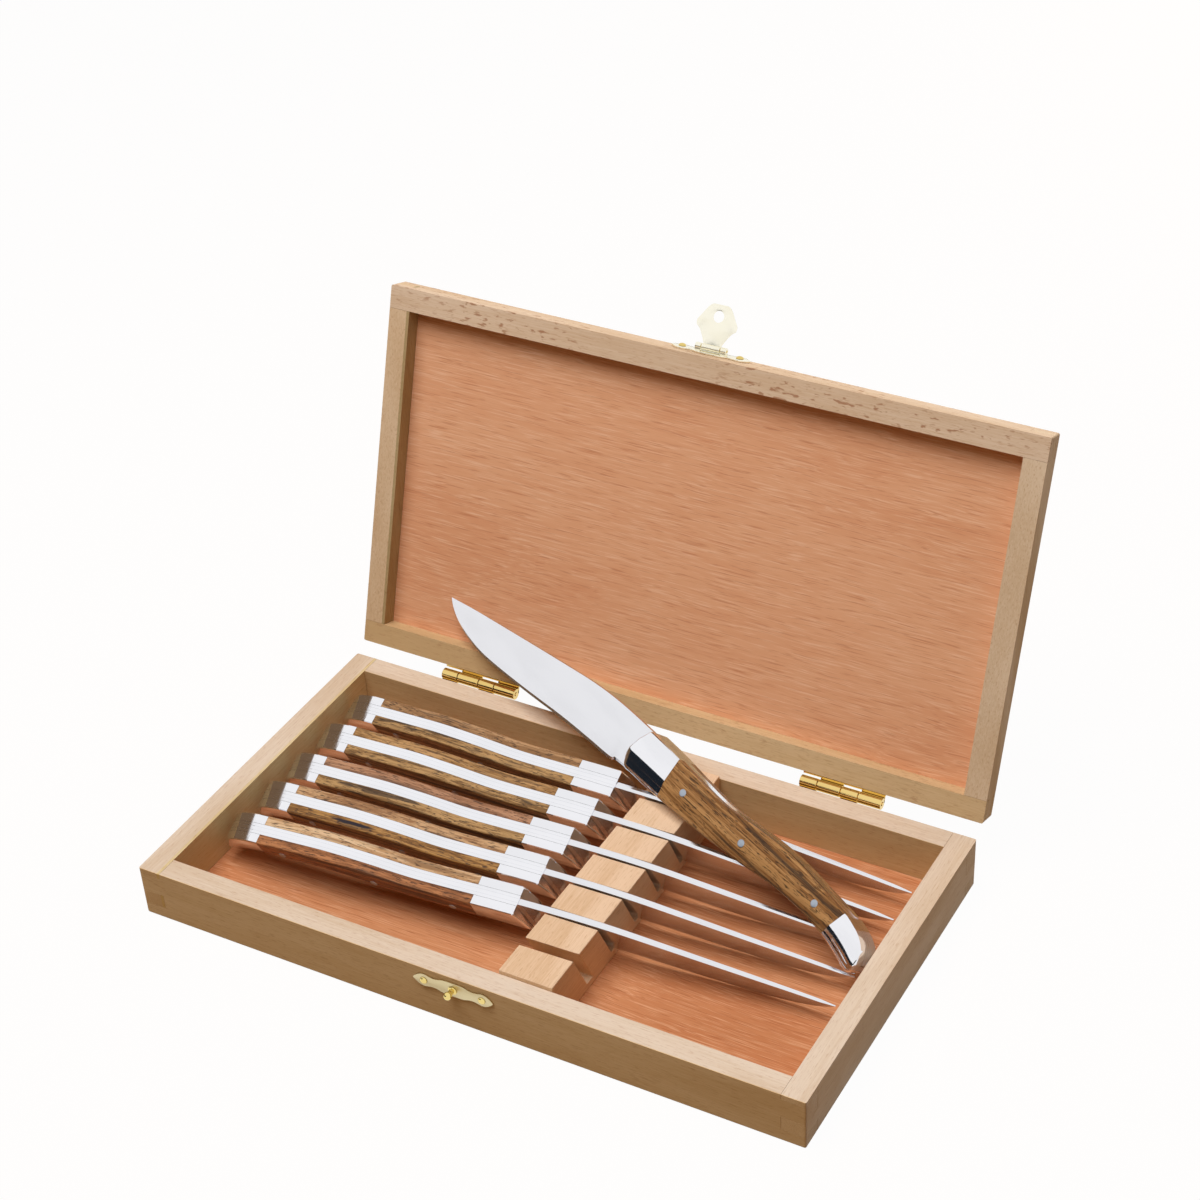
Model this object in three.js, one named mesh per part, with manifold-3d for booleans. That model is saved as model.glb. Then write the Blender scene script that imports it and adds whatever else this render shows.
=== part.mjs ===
// Beech display case for six table knives, standing open: a tray with a slotted block, a hinged
// lid with a brass catch, five knives in their slots and a sixth laid across them. Millimetres,
// +Z up. The origin is on the underside of the tray, at its centre; the long front rail faces -Y
// and the tips of the stored knives point to +X.

import * as THREE from 'three';
import { mergeVertices } from 'three/addons/utils/BufferGeometryUtils.js';
import Module from 'manifold-3d';

const wasm = await Module();
wasm.setup();

// Driving dimensions of a knife. Its own axes are X from butt to tip, Z towards the spine and Y
// through its thickness, with the origin in the middle of the butt end. Places along the handle
// are shares of its length.
const handle_length = 124.5;
const blade_length = 110.5;
const blade_thickness = 2.2;
const tip_thickness = 1.0;
const edge_thickness = 0.5;
const handle_thickness = 11.2;
const belly_round = 4;
const tang_thickness = 4.2;
const bolster_length = 20.7;
const cap_length = 18;
const cap_slant = 18;
const rivet_radius = 1.4;
const rivet_places = [[0.758, 3.6], [0.508, 4.5], [0.21, 5.6]];
const bolster_pin_place = [0.908, 4];
const cap_pin_place = [0.064, 2];

// How far the stored knives' butts and tips stay from the rails
const butt_from_rail = 2.7;
const tip_from_rail = 4.7;

// Driving dimensions of the box. Its length follows from the knives.
const case_depth = 141;
const tray_height = 20.8;
const tray_rail = 8.8;
const tray_floor = 2.6;
const lid_height = 9.2;
const lid_rail = 8.6;
const lid_panel = 2.6;
const rebate_depth = 4;
const corner_radius = 0.7;
const edge_round = 0.5;
const tray_finger_levels = [5.0, 10.8, 18.5];
const lid_finger_levels = [3.0, 6.4];

// Driving dimensions of the hinges
const lid_open_angle = 108.5;
const lid_rim_gap = 0.6;
const pivot_behind_case = 3.5;
const hinge_from_end = 53.8;
const tray_knuckle = 6.9;
const lid_knuckle = 9.3;
const barrel_radius = 2.2;
const hinge_pin_radius = 0.8;
const leaf_thickness = 0.8;
const leaf_in_wood = 6;

// Driving dimensions of the catch
const plate_length = 31.2;
const plate_height = 5.8;
const plate_thickness = 0.7;
const plate_above_rim = 6.6;
const nail_spacing = 22.8;
const nail_head_radius = 1.4;
const nail_head_height = 0.8;
const nail_shank_radius = 0.5;
const nail_in_wood = 5;
const flap_knuckle_radius = 1.2;
const flap_knuckle_width = 7.2;
const flap_loop_width = 2.2;
const flap_pin_radius = 0.5;
const flap_thickness = 0.6;
const flap_length = 15.6;
const flap_width = 15.8;
const flap_hole_distance = 11.3;
const flap_hole_radius = 2.1;
const flap_open_angle = 105.5;
const knob_head_radius = 1.5;
const knob_neck_radius = 1.0;
const knob_collar_width = 0.7;
const knob_collar_height = 0.5;

// Driving dimensions of the slotted block
const block_after_handle = 6.6;
const block_width = 20.6;
const block_top = 22.4;
const slot_count = 6;
const slot_pitch = 17.2;
const first_slot_y = -45.6;
const slot_width = 3.6;
const slot_lean = 25;
const slot_yaw = 1.7;

// Where the stored knives stand: the height of their spines over the block, how far their tips
// dip, and how far each points towards the back rail
const spine_over_block = 1.2;
const tip_down = 0.1;
const knife_yaws = [3.3, 2.2, 1.7, 0.6, -0.4];

// Where the sixth knife lies: its butt and its three turns
const laid_butt_from_rail = 2.2;
const laid_butt_y = -2.03;
const laid_butt_z = 16.72;
const laid_yaw = 156.8;
const laid_climb = 7.32;
const laid_roll = 43.3;

// Clearances
const glue_gap = 0.1;
const running_gap = 0.3;
const seat_gap = 0.1;

// Facets of round pieces, and how far a cutter or a clearing form reaches past what it cuts
const round_steps = 20;
const small_round_steps = 12;
const cut_margin = 1;
const cutter_reach = 20;

const beech = { color: 0xd9b48a, roughness: 0.6, metalness: 0 };
const light_beech = { color: 0xe0bd90, roughness: 0.6, metalness: 0 };
const plywood = { color: 0xc98a5e, roughness: 0.65, metalness: 0 };
const brass = { color: 0xc9a24b, roughness: 0.3, metalness: 1 };
const steel = { color: 0xd8dadd, roughness: 0.12, metalness: 1 };
const handle_wood = { color: 0x9a6a35, roughness: 0.45, metalness: 0 };

const knife_length = handle_length + blade_length;
const case_length = 2 * tray_rail + butt_from_rail + knife_length + tip_from_rail;
const half_length = case_length / 2;
const half_depth = case_depth / 2;
const inner_x = half_length - tray_rail;
const inner_y = half_depth - tray_rail;
const radians = THREE.MathUtils.degToRad;

// A closed geometry as a solid for joining and cutting
function solidOf(geometry) {
  for (const name of Object.keys(geometry.attributes)) {
    if (name !== 'position') geometry.deleteAttribute(name);
  }
  const merged = mergeVertices(geometry, 1e-5);
  const vertProperties = new Float32Array(merged.attributes.position.array);
  const triVerts = new Uint32Array(merged.index.array);
  return new wasm.Manifold(new wasm.Mesh({ numProp: 3, vertProperties, triVerts }));
}

function pieceMesh(name, solid, look) {
  const { vertProperties, triVerts } = solid.getMesh();
  const geometry = new THREE.BufferGeometry();
  geometry.setAttribute('position', new THREE.BufferAttribute(vertProperties, 3));
  geometry.setIndex(new THREE.BufferAttribute(triVerts, 1));
  const mesh = new THREE.Mesh(geometry, new THREE.MeshStandardMaterial(look));
  mesh.name = name;
  return mesh;
}

// A box between two corners
function block(low, high) {
  const size = high.map((value, axis) => value - low[axis]);
  const geometry = new THREE.BoxGeometry(...size);
  geometry.translate(...low.map((value, axis) => value + size[axis] / 2));
  return solidOf(geometry);
}

// A rod along X through y and z
function rodAlongX(radius, from, to, y, z, steps) {
  const geometry = new THREE.CylinderGeometry(radius, radius, to - from, steps);
  geometry.rotateZ(Math.PI / 2);
  geometry.translate((from + to) / 2, y, z);
  return solidOf(geometry);
}

// A rod along Y through x and z
function rodAlongY(radius, from, to, x, z, steps) {
  const geometry = new THREE.CylinderGeometry(radius, radius, to - from, steps);
  geometry.translate(x, (from + to) / 2, z);
  return solidOf(geometry);
}

// An outline in X and Z, given thickness along Y, with its rims rounded where asked
function slab(shape, from_y, to_y, curve_steps, rim = 0) {
  const geometry = new THREE.ExtrudeGeometry(shape, {
    depth: to_y - from_y - 2 * rim,
    bevelEnabled: rim > 0,
    bevelThickness: rim,
    bevelSize: rim,
    bevelOffset: -rim,
    bevelSegments: 2,
    curveSegments: curve_steps,
  });
  geometry.rotateX(Math.PI / 2);
  geometry.translate(0, to_y - rim, 0);
  return solidOf(geometry);
}

// The whole box's outer form, with rounded corners, over a height and with one soft end
function boxForm(low_z, high_z) {
  const shape = new THREE.Shape();
  const centres = [[1, -1], [1, 1], [-1, 1], [-1, -1]];
  centres.forEach(([x_side, y_side], index) => {
    const x = x_side * (half_length - corner_radius);
    const y = y_side * (half_depth - corner_radius);
    const start = (index - 1) * Math.PI / 2;
    shape.absarc(x, y, corner_radius, start, start + Math.PI / 2, false);
  });
  const geometry = new THREE.ExtrudeGeometry(shape, {
    depth: high_z - low_z - 2 * edge_round,
    bevelThickness: edge_round,
    bevelSize: edge_round,
    bevelOffset: -edge_round,
    bevelSegments: 2,
    curveSegments: 3,
  });
  geometry.translate(0, 0, low_z + edge_round);
  return solidOf(geometry);
}

// Four rails from z = 0 up, joined by fingers. The fingers change hands at the levels, and the
// lowest finger belongs to the long rails.
function fingeredRails(height, rail, levels) {
  const in_x = half_length - rail;
  const in_y = half_depth - rail;
  const rails = {
    front: block([-half_length, -half_depth, 0], [half_length, -in_y, height]),
    back: block([-half_length, in_y, 0], [half_length, half_depth, height]),
    left: block([-half_length, -half_depth, 0], [-in_x, half_depth, height]),
    right: block([in_x, -half_depth, 0], [half_length, half_depth, height]),
  };
  const bounds = [-glue_gap, ...levels, height + glue_gap];
  for (let index = 0; index + 1 < bounds.length; index += 1) {
    const long_finger = index % 2 === 0;
    const low = bounds[index] - (long_finger ? glue_gap : 0);
    const high = bounds[index + 1] + (long_finger ? glue_gap : 0);
    for (const side of [-1, 1]) {
      if (long_finger) {
        const y = [side * (in_y - glue_gap), side * case_depth].sort((a, b) => a - b);
        const cut = block([-case_length, y[0], low], [case_length, y[1], high]);
        rails.left = rails.left.subtract(cut);
        rails.right = rails.right.subtract(cut);
      } else {
        const x = [side * (in_x - glue_gap), side * case_length].sort((a, b) => a - b);
        const cut = block([x[0], -case_depth, low], [x[1], case_depth, high]);
        rails.front = rails.front.subtract(cut);
        rails.back = rails.back.subtract(cut);
      }
    }
  }
  return rails;
}

// The saw cut in a back rail that takes a hinge leaf
function leafKerf(centre, leaf_low) {
  const half = tray_knuckle + lid_knuckle + running_gap;
  const kerf_end = half_depth - leaf_in_wood - running_gap;
  return block(
    [centre - half, kerf_end, leaf_low - running_gap],
    [centre + half, half_depth + cutter_reach, leaf_low + leaf_thickness + running_gap],
  );
}

// A hole for a nail or the knob in the front face
function frontHole(radius, x, z) {
  const from = -half_depth - cutter_reach;
  const to = -half_depth + nail_in_wood + running_gap;
  return rodAlongY(radius + running_gap, from, to, x, z, small_round_steps);
}

const hinge_centre = half_length - hinge_from_end;
const hinge_centres = { left: -hinge_centre, right: hinge_centre };
const tray_leaf_low = tray_height - barrel_radius;
const lid_leaf_low = barrel_radius - leaf_thickness - lid_rim_gap;
const lid_plate_z = plate_above_rim - lid_rim_gap;
const tray_plate_z = tray_height + plate_above_rim - flap_hole_distance;
const nail_places = [-nail_spacing / 2, nail_spacing / 2];

function trayWood() {
  const rails = fingeredRails(tray_height, tray_rail, tray_finger_levels);
  const form = boxForm(0, tray_height + cutter_reach);
  const panel_x = inner_x + rebate_depth;
  const panel_y = inner_y + rebate_depth;
  const rebate = block([-panel_x, -panel_y, -cutter_reach], [panel_x, panel_y, tray_floor + glue_gap]);
  for (const side of Object.keys(rails)) {
    rails[side] = rails[side].intersect(form).subtract(rebate);
  }
  for (const centre of Object.values(hinge_centres)) {
    rails.back = rails.back.subtract(leafKerf(centre, tray_leaf_low));
  }
  rails.front = rails.front.subtract(frontHole(knob_neck_radius, 0, tray_plate_z));
  for (const nail_x of nail_places) {
    rails.front = rails.front.subtract(frontHole(nail_shank_radius, nail_x, tray_plate_z));
  }
  const floor = block(
    [glue_gap - panel_x, glue_gap - panel_y, 0],
    [panel_x - glue_gap, panel_y - glue_gap, tray_floor],
  );
  return [
    pieceMesh('tray_front_rail', rails.front, beech),
    pieceMesh('tray_back_rail', rails.back, beech),
    pieceMesh('tray_left_rail', rails.left, beech),
    pieceMesh('tray_right_rail', rails.right, beech),
    pieceMesh('tray_bottom_panel', floor, plywood),
  ];
}

// The lid is drawn shut, with z = 0 at its rim
function lidWood() {
  const rails = fingeredRails(lid_height, lid_rail, lid_finger_levels);
  const form = boxForm(-cutter_reach, lid_height);
  const panel_x = half_length - lid_rail + rebate_depth;
  const panel_y = half_depth - lid_rail + rebate_depth;
  const panel_low = lid_height - lid_panel;
  const rebate = block(
    [-panel_x, -panel_y, panel_low - glue_gap],
    [panel_x, panel_y, lid_height + cutter_reach],
  );
  for (const side of Object.keys(rails)) {
    rails[side] = rails[side].intersect(form).subtract(rebate);
  }
  for (const centre of Object.values(hinge_centres)) {
    rails.back = rails.back.subtract(leafKerf(centre, lid_leaf_low));
  }
  for (const nail_x of nail_places) {
    rails.front = rails.front.subtract(frontHole(nail_shank_radius, nail_x, lid_plate_z));
  }
  const panel = block(
    [glue_gap - panel_x, glue_gap - panel_y, panel_low],
    [panel_x - glue_gap, panel_y - glue_gap, lid_height],
  );
  return [
    pieceMesh('lid_front_rail', rails.front, beech),
    pieceMesh('lid_back_rail', rails.back, beech),
    pieceMesh('lid_left_stile', rails.left, beech),
    pieceMesh('lid_right_stile', rails.right, beech),
    pieceMesh('lid_panel', panel, plywood),
  ];
}

// A leaf with its two knuckles, drawn round the pivot line. Its flat lies over the pivot on the
// lid's leaf and under it on the tray's. From the left the knuckles are tray, lid, tray, lid.
function leafSolid(centre, on_lid) {
  const half = tray_knuckle + lid_knuckle;
  const flat_low = on_lid ? barrel_radius - leaf_thickness : -barrel_radius;
  let leaf = block(
    [centre - half, -pivot_behind_case - leaf_in_wood, flat_low],
    [centre + half, 0, flat_low + leaf_thickness],
  );
  const trim = running_gap / 2;
  const clear = barrel_radius + running_gap;
  let from = centre - half;
  for (const lid_has_it of [false, true, false, true]) {
    const to = from + (lid_has_it ? lid_knuckle : tray_knuckle);
    if (lid_has_it === on_lid) {
      leaf = leaf.add(rodAlongX(barrel_radius, from + trim, to - trim, 0, 0, round_steps));
    } else {
      leaf = leaf.subtract(block([from - trim, -clear, -clear], [to + trim, clear, clear]));
    }
    from = to;
  }
  const bore_radius = hinge_pin_radius + running_gap;
  const bore_half = half + cutter_reach;
  const bore = rodAlongX(bore_radius, centre - bore_half, centre + bore_half, 0, 0, small_round_steps);
  return leaf.subtract(bore);
}

function hingePin(centre) {
  const half = tray_knuckle + lid_knuckle + seat_gap;
  return rodAlongX(hinge_pin_radius, centre - half, centre + half, 0, 0, small_round_steps);
}

// A cutter along Y through a thin piece near y = 0
function throughHole(radius, x, z) {
  return rodAlongY(radius, -cutter_reach, cutter_reach, x, z, small_round_steps);
}

// A catch plate standing on the face y = 0, towards -Y: pointed ends, a lobe round each nail and a
// wide middle
function plateSolid() {
  const end = plate_length / 2;
  const half = plate_height / 2;
  const nail = nail_spacing / 2;
  const quarter = [
    [end, 0],
    [nail + 2, half * 0.7],
    [nail, half * 0.92],
    [nail - 2.6, half * 0.68],
    [nail - 5.6, half * 0.74],
    [nail - 8.2, half],
  ];
  const across = quarter.map(([x, z]) => [-x, z]).reverse();
  const upper = [...quarter, ...across];
  const lower = upper.slice(1, -1).map(([x, z]) => [x, -z]).reverse();
  const shape = new THREE.Shape([...upper, ...lower].map(([x, z]) => new THREE.Vector2(x, z)));
  let plate = slab(shape, -seat_gap - plate_thickness, -seat_gap, 1);
  for (const nail_x of nail_places) {
    plate = plate.subtract(throughHole(nail_shank_radius + running_gap, nail_x, 0));
  }
  return plate;
}

const plate_face = seat_gap + plate_thickness;
const flap_pivot_out = plate_face + flap_knuckle_radius + seat_gap;
const flap_bore = flap_pin_radius + running_gap;

function lidPlate() {
  let plate = plateSolid();
  for (const side of [-1, 1]) {
    const near = side * (flap_knuckle_width / 2 + running_gap);
    const x = [near, near + side * flap_loop_width].sort((a, b) => a - b);
    const foot = block(
      [x[0], -flap_pivot_out, -flap_knuckle_radius],
      [x[1], -plate_face + seat_gap, flap_knuckle_radius],
    );
    const loop = rodAlongX(flap_knuckle_radius, x[0], x[1], -flap_pivot_out, 0, small_round_steps);
    plate = plate.add(loop).add(foot);
  }
  const bore = rodAlongX(flap_bore, -cutter_reach, cutter_reach, -flap_pivot_out, 0, small_round_steps);
  return plate.subtract(bore);
}

// The flap, hanging down from its pivot line at y = 0, z = 0
function flapSolid() {
  const half = flap_width / 2;
  const neck = flap_knuckle_width / 2;
  const right = [
    [neck, 0],
    [neck, flap_length * 0.1],
    [half - 1.1, flap_length * 0.42],
    [half, flap_length * 0.49],
    [half, flap_length * 0.6],
    [half - 0.9, flap_length * 0.68],
    [half - 3.9, flap_length * 0.93],
    [half - 5.1, flap_length],
  ];
  const left = right.map(([x, down]) => [-x, down]).reverse();
  const shape = new THREE.Shape([...right, ...left].map(([x, down]) => new THREE.Vector2(x, -down)));
  return slab(shape, -flap_thickness / 2, flap_thickness / 2, 1)
    .subtract(throughHole(flap_hole_radius, 0, -flap_hole_distance))
    .add(rodAlongX(flap_knuckle_radius, -neck, neck, 0, 0, small_round_steps))
    .subtract(rodAlongX(flap_bore, -cutter_reach, cutter_reach, 0, 0, small_round_steps));
}

function flapPin() {
  const half = flap_knuckle_width / 2 + running_gap + flap_loop_width + seat_gap;
  return rodAlongX(flap_pin_radius, -half, half, -flap_pivot_out, 0, small_round_steps);
}

// A turned piece standing on the face y = 0, towards -Y
function turned(points) {
  const outline = points.map(([radius, out]) => new THREE.Vector2(radius, out));
  const geometry = new THREE.LatheGeometry(outline, small_round_steps);
  geometry.rotateX(Math.PI);
  return solidOf(geometry);
}

// A ball's outline from one angle to its pole, ending on the axis
function ballOutline(radius, height, centre, from_angle, steps) {
  const points = [];
  for (let step = 0; step <= steps; step += 1) {
    const angle = THREE.MathUtils.lerp(from_angle, Math.PI / 2, step / steps);
    points.push([step === steps ? 0 : radius * Math.cos(angle), centre + height * Math.sin(angle)]);
  }
  return points;
}

function nailSolid() {
  const seat = plate_face + seat_gap;
  return turned([
    [0, -nail_in_wood],
    [nail_shank_radius, -nail_in_wood],
    [nail_shank_radius, seat],
    ...ballOutline(nail_head_radius, nail_head_height, seat, 0, 4),
  ]);
}

// The knob keeps the flap between its collar and its head when the lid is shut
function knobSolid() {
  const seat = plate_face + seat_gap;
  const collar_top = seat + knob_collar_height;
  const head_angle = -Math.acos(knob_neck_radius / knob_head_radius);
  const flap_outside = flap_pivot_out + flap_thickness / 2 + running_gap;
  const head_centre = flap_outside - knob_head_radius * Math.sin(head_angle);
  return turned([
    [0, -nail_in_wood],
    [knob_neck_radius, -nail_in_wood],
    [knob_neck_radius, seat],
    [knob_neck_radius + knob_collar_width, seat],
    [knob_neck_radius + knob_collar_width, collar_top - knob_collar_height / 2],
    [knob_neck_radius, collar_top],
    ...ballOutline(knob_head_radius, knob_head_radius, head_centre, head_angle, 6),
  ]);
}

// The knife's outline. Heights run from the butt's middle. Places are shares of the handle's
// length from the butt end.
const spine_points = [
  [0, 0.5], [0.0088, 4.4], [0.0241, 6.4], [0.0482, 8.1], [0.0803, 9.4], [0.1285, 10.5],
  [0.2329, 11.7], [0.3614, 12.9], [0.49, 12.3], [0.6265, 10.8], [0.7631, 11.5], [0.8835, 12.6],
];
const front_points = [
  [0.9687, 12.9], [0.988, 8.7], [1, 3.5], [0.9984, -1], [0.9839, -4.2],
];
const belly_points = [
  [0.8353, -4.3], [0.6586, -3.5], [0.498, -1.9], [0.3614, 0.1], [0.241, 0.3], [0.1526, -0.8],
  [0.0803, -2.9], [0.0241, -4.8], [0.0056, -3.2],
];

// Places on the blade are shares of its length from the handle's end
const blade_spine_points = [
  [-0.0498, 12.6], [0.086, 12.8], [0.1855, 12.6], [0.2941, 11.6], [0.4208, 9.6], [0.5747, 7.0],
  [0.7511, 3.9], [0.8824, 1.5],
];
const tip_height = -1.1;
const blade_edge_points = [
  [0.9692, -3.6], [0.9186, -6.4], [0.8462, -8.5], [0.7557, -9.8], [0.6471, -9.7],
  [0.5023, -8.8], [0.3213, -7.3], [0.1674, -6.3], [0.0588, -6.5],
];
const heel_points = [
  [0.0226, -6.4], [0.01, -5.3], [-0.0498, -4.2],
];

const spine_height = blade_spine_points[1][1];
const butt_x = -inner_x + butt_from_rail;
const block_left = butt_x + handle_length + block_after_handle;

// Outline points in millimetres
function onHandle(points) {
  return points.map(([share, height]) => new THREE.Vector2(share * handle_length, height));
}

function onBlade(points) {
  return points.map(([share, height]) => new THREE.Vector2(handle_length + share * blade_length, height));
}

// Where a slot's middle line crosses the middle of the block's top; slot 0 is the empty one
function slotY(index) {
  return first_slot_y + index * slot_pitch;
}

// The height of the blade's edge at a distance from the butt
function edgeHeight(distance) {
  const rising = onBlade(blade_edge_points).reverse();
  const after = rising.findIndex((point) => point.x >= distance);
  const near = rising[after - 1];
  const far = rising[after];
  return THREE.MathUtils.mapLinear(distance, near.x, far.x, near.y, far.y);
}

// The slots go down to just under the blades' edges
function slotFloor() {
  const from_butt = block_left + block_width - butt_x;
  const edge = edgeHeight(from_butt);
  const depth = (spine_height - edge) * Math.cos(radians(slot_lean));
  const dip = block_width / 2 * Math.sin(radians(tip_down));
  return block_top + spine_over_block - depth - dip - running_gap;
}

function knifeBlock() {
  const slot_floor = slotFloor();
  let wood = block(
    [block_left, -inner_y + seat_gap, tray_floor],
    [block_left + block_width, inner_y - seat_gap, block_top],
  );
  const depth = (block_top - slot_floor) / Math.cos(radians(slot_lean)) + slot_width;
  const above_floor = block(
    [-case_length, -case_depth, slot_floor],
    [case_length, case_depth, block_top + cutter_reach],
  );
  const upright_slot = block(
    [-block_width, -slot_width / 2, -depth],
    [block_width, slot_width / 2, slot_width * 2],
  );
  for (let index = 0; index < slot_count; index += 1) {
    const cutter = upright_slot
      .rotate([slot_lean, 0, 0])
      .rotate([0, 0, slot_yaw])
      .translate([block_left + block_width / 2, slotY(index), block_top]);
    wood = wood.subtract(cutter.intersect(above_floor));
  }
  return wood;
}

// A form with a flat top and two round lower corners, whose underside follows the belly line
function bellyForm(half, top) {
  const belly = onHandle(belly_points).reverse();
  const before = new THREE.Vector2(-handle_length, belly[0].y);
  const after = new THREE.Vector2(2 * handle_length, belly[belly.length - 1].y);
  const stations = [before, ...belly, after];
  const corner_steps = 3;
  const places = [];
  for (const station of stations) {
    for (const side of [-1, 1]) {
      const ring = [[side * half, top]];
      for (let step = 0; step <= corner_steps; step += 1) {
        const angle = Math.PI / 2 * step / corner_steps;
        const y = half - belly_round * (1 - Math.cos(angle));
        ring.push([side * y, station.y + belly_round * (1 - Math.sin(angle))]);
      }
      if (side > 0) ring.reverse();
      for (const [y, z] of ring) places.push(station.x, y, z);
    }
  }
  const ring_size = 2 * (corner_steps + 2);
  const faces = [];
  for (let station = 0; station + 1 < stations.length; station += 1) {
    for (let index = 0; index < ring_size; index += 1) {
      const here = station * ring_size + index;
      const beside = station * ring_size + (index + 1) % ring_size;
      faces.push(here, beside, here + ring_size, beside, beside + ring_size, here + ring_size);
    }
  }
  const last = (stations.length - 1) * ring_size;
  for (let index = 1; index + 1 < ring_size; index += 1) {
    faces.push(0, index + 1, index, last, last + index, last + index + 1);
  }
  const geometry = new THREE.BufferGeometry();
  geometry.setAttribute('position', new THREE.Float32BufferAttribute(places, 3));
  geometry.setIndex(faces);
  return solidOf(geometry);
}

// The handle from the side, with its belly lowered where another form cuts it
function handleShape(belly_drop = 0) {
  const [start, ...spine] = onHandle(spine_points);
  const belly = onHandle(belly_points).map((point) => point.setY(point.y - belly_drop));
  const shape = new THREE.Shape();
  shape.moveTo(start.x, start.y);
  for (const stretch of [spine, onHandle(front_points), belly]) {
    shape.splineThru(stretch);
  }
  shape.closePath();
  return shape;
}

// The blade tapers from spine to edge and from handle to tip
function bladeSolid() {
  const points = [...blade_spine_points, [1, tip_height], ...blade_edge_points, ...heel_points];
  const shape = new THREE.Shape(onBlade(points));
  const geometry = new THREE.ExtrudeGeometry(shape, { depth: 2, bevelEnabled: false });
  geometry.rotateX(Math.PI / 2);
  geometry.translate(0, 1, 0);
  const place = geometry.attributes.position;
  const [edge_start] = onBlade(blade_edge_points.slice(-1));
  const edge_from = edge_start.x - seat_gap;
  for (let index = 0; index < place.count; index += 1) {
    const along = Math.max(0, (place.getX(index) - handle_length) / blade_length);
    const on_edge = place.getX(index) > edge_from && place.getZ(index) < tip_height + edge_thickness;
    const spine_thickness = THREE.MathUtils.lerp(blade_thickness, tip_thickness, along ** 2);
    place.setY(index, place.getY(index) * (on_edge ? edge_thickness : spine_thickness) / 2);
  }
  return solidOf(geometry);
}

// A rod through a knife at a place of its outline
function throughKnife(radius, [share, height], half) {
  return rodAlongY(radius, -half, half, share * handle_length, height, small_round_steps);
}

// A region of the knife on one side of a line across it; the line leans by an angle
function knifeRegion(at, lean, towards_tip) {
  const reach = 2 * handle_length;
  const region = towards_tip
    ? block([0, -handle_thickness, -reach], [reach, handle_thickness, reach])
    : block([-reach, -handle_thickness, -reach], [0, handle_thickness, reach]);
  return region.rotate([0, -lean, 0]).translate([at, 0, 0]);
}

// The solids of one knife. Loose rivets are pieces of their own; otherwise they are one with the
// tang.
function knifeSolids(loose_rivets) {
  const half = handle_thickness / 2;
  const cheek = tang_thickness / 2 + glue_gap;
  const core = block(
    [-handle_length, -cheek, -handle_length],
    [2 * handle_length, cheek, handle_length],
  );
  const section = bellyForm(half, handle_thickness * 2);
  const cheeks = slab(handleShape(cut_margin), -half, half, 1).intersect(section).subtract(core);
  const bolster_from = handle_length - bolster_length;
  const bolster_pin = throughKnife(rivet_radius, bolster_pin_place, cheek + 1);
  const cap_pin = throughKnife(rivet_radius, cap_pin_place, cheek + 1);
  let scales = cheeks
    .subtract(knifeRegion(bolster_from - glue_gap, 0, true))
    .subtract(knifeRegion(cap_length + glue_gap, cap_slant, false));
  let blade = slab(handleShape(), -tang_thickness / 2, tang_thickness / 2, 1).add(bladeSolid());
  for (const place of [bolster_pin_place, cap_pin_place]) {
    blade = blade.subtract(throughKnife(rivet_radius + running_gap, place, half));
  }
  const rivets = rivet_places.map((place) => throughKnife(rivet_radius, place, half));
  for (const place of rivet_places) {
    const hole = throughKnife(rivet_radius + running_gap, place, half + 1);
    scales = scales.subtract(hole);
    if (loose_rivets) blade = blade.subtract(hole);
  }
  if (!loose_rivets) {
    for (const rivet of rivets) blade = blade.add(rivet);
  }
  const side = block(
    [-handle_length, 0, -handle_length],
    [2 * handle_length, handle_length, handle_length],
  );
  return {
    blade,
    bolster: cheeks.intersect(knifeRegion(bolster_from, 0, true)).add(bolster_pin),
    cap: cheeks.intersect(knifeRegion(cap_length, cap_slant, false)).add(cap_pin),
    scale_left: scales.intersect(side),
    scale_right: scales.subtract(side),
    rivets: loose_rivets ? rivets : [],
  };
}

function knifeGroup(name, loose_rivets) {
  const solids = knifeSolids(loose_rivets);
  const knife = new THREE.Group();
  knife.add(pieceMesh(`${name}_blade`, solids.blade, steel));
  knife.add(pieceMesh(`${name}_bolster`, solids.bolster, steel));
  knife.add(pieceMesh(`${name}_butt_cap`, solids.cap, steel));
  knife.add(pieceMesh(`${name}_scale_left`, solids.scale_left, handle_wood));
  knife.add(pieceMesh(`${name}_scale_right`, solids.scale_right, handle_wood));
  solids.rivets.forEach((rivet, index) => {
    knife.add(pieceMesh(`${name}_rivet_${index + 1}`, rivet, steel));
  });
  return knife;
}

// A knife in its slot. Its spine crosses the slot's middle in the middle of the block, a little
// over the block's top.
function storedKnife(index) {
  const knife = knifeGroup(`knife_${index + 1}`, false);
  knife.rotation.set(radians(slot_lean), radians(tip_down), radians(knife_yaws[index]), 'ZXY');
  const block_middle = block_left + block_width / 2;
  const in_slot = new THREE.Vector3(block_middle - butt_x, 0, spine_height).applyEuler(knife.rotation);
  const lean_shift = spine_over_block * Math.tan(radians(slot_lean));
  knife.position.set(
    butt_x,
    slotY(index + 1) - lean_shift - in_slot.y,
    block_top + spine_over_block - in_slot.z,
  );
  return knife;
}

function laidKnife() {
  const knife = knifeGroup('display_knife', true);
  knife.rotation.set(radians(laid_roll), radians(-laid_climb), radians(laid_yaw), 'ZYX');
  knife.position.set(inner_x - laid_butt_from_rail, laid_butt_y, laid_butt_z);
  return knife;
}

// Puts a piece that is drawn on the face y = 0 on the front of the box
function onFront(mesh, x, z) {
  mesh.position.set(x, -half_depth, z);
  return mesh;
}

// The two nails of a catch plate
function plateNails(name, z) {
  return ['left', 'right'].map((side, index) => {
    return onFront(pieceMesh(`${name}_nail_${side}`, nailSolid(), brass), nail_places[index], z);
  });
}

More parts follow.
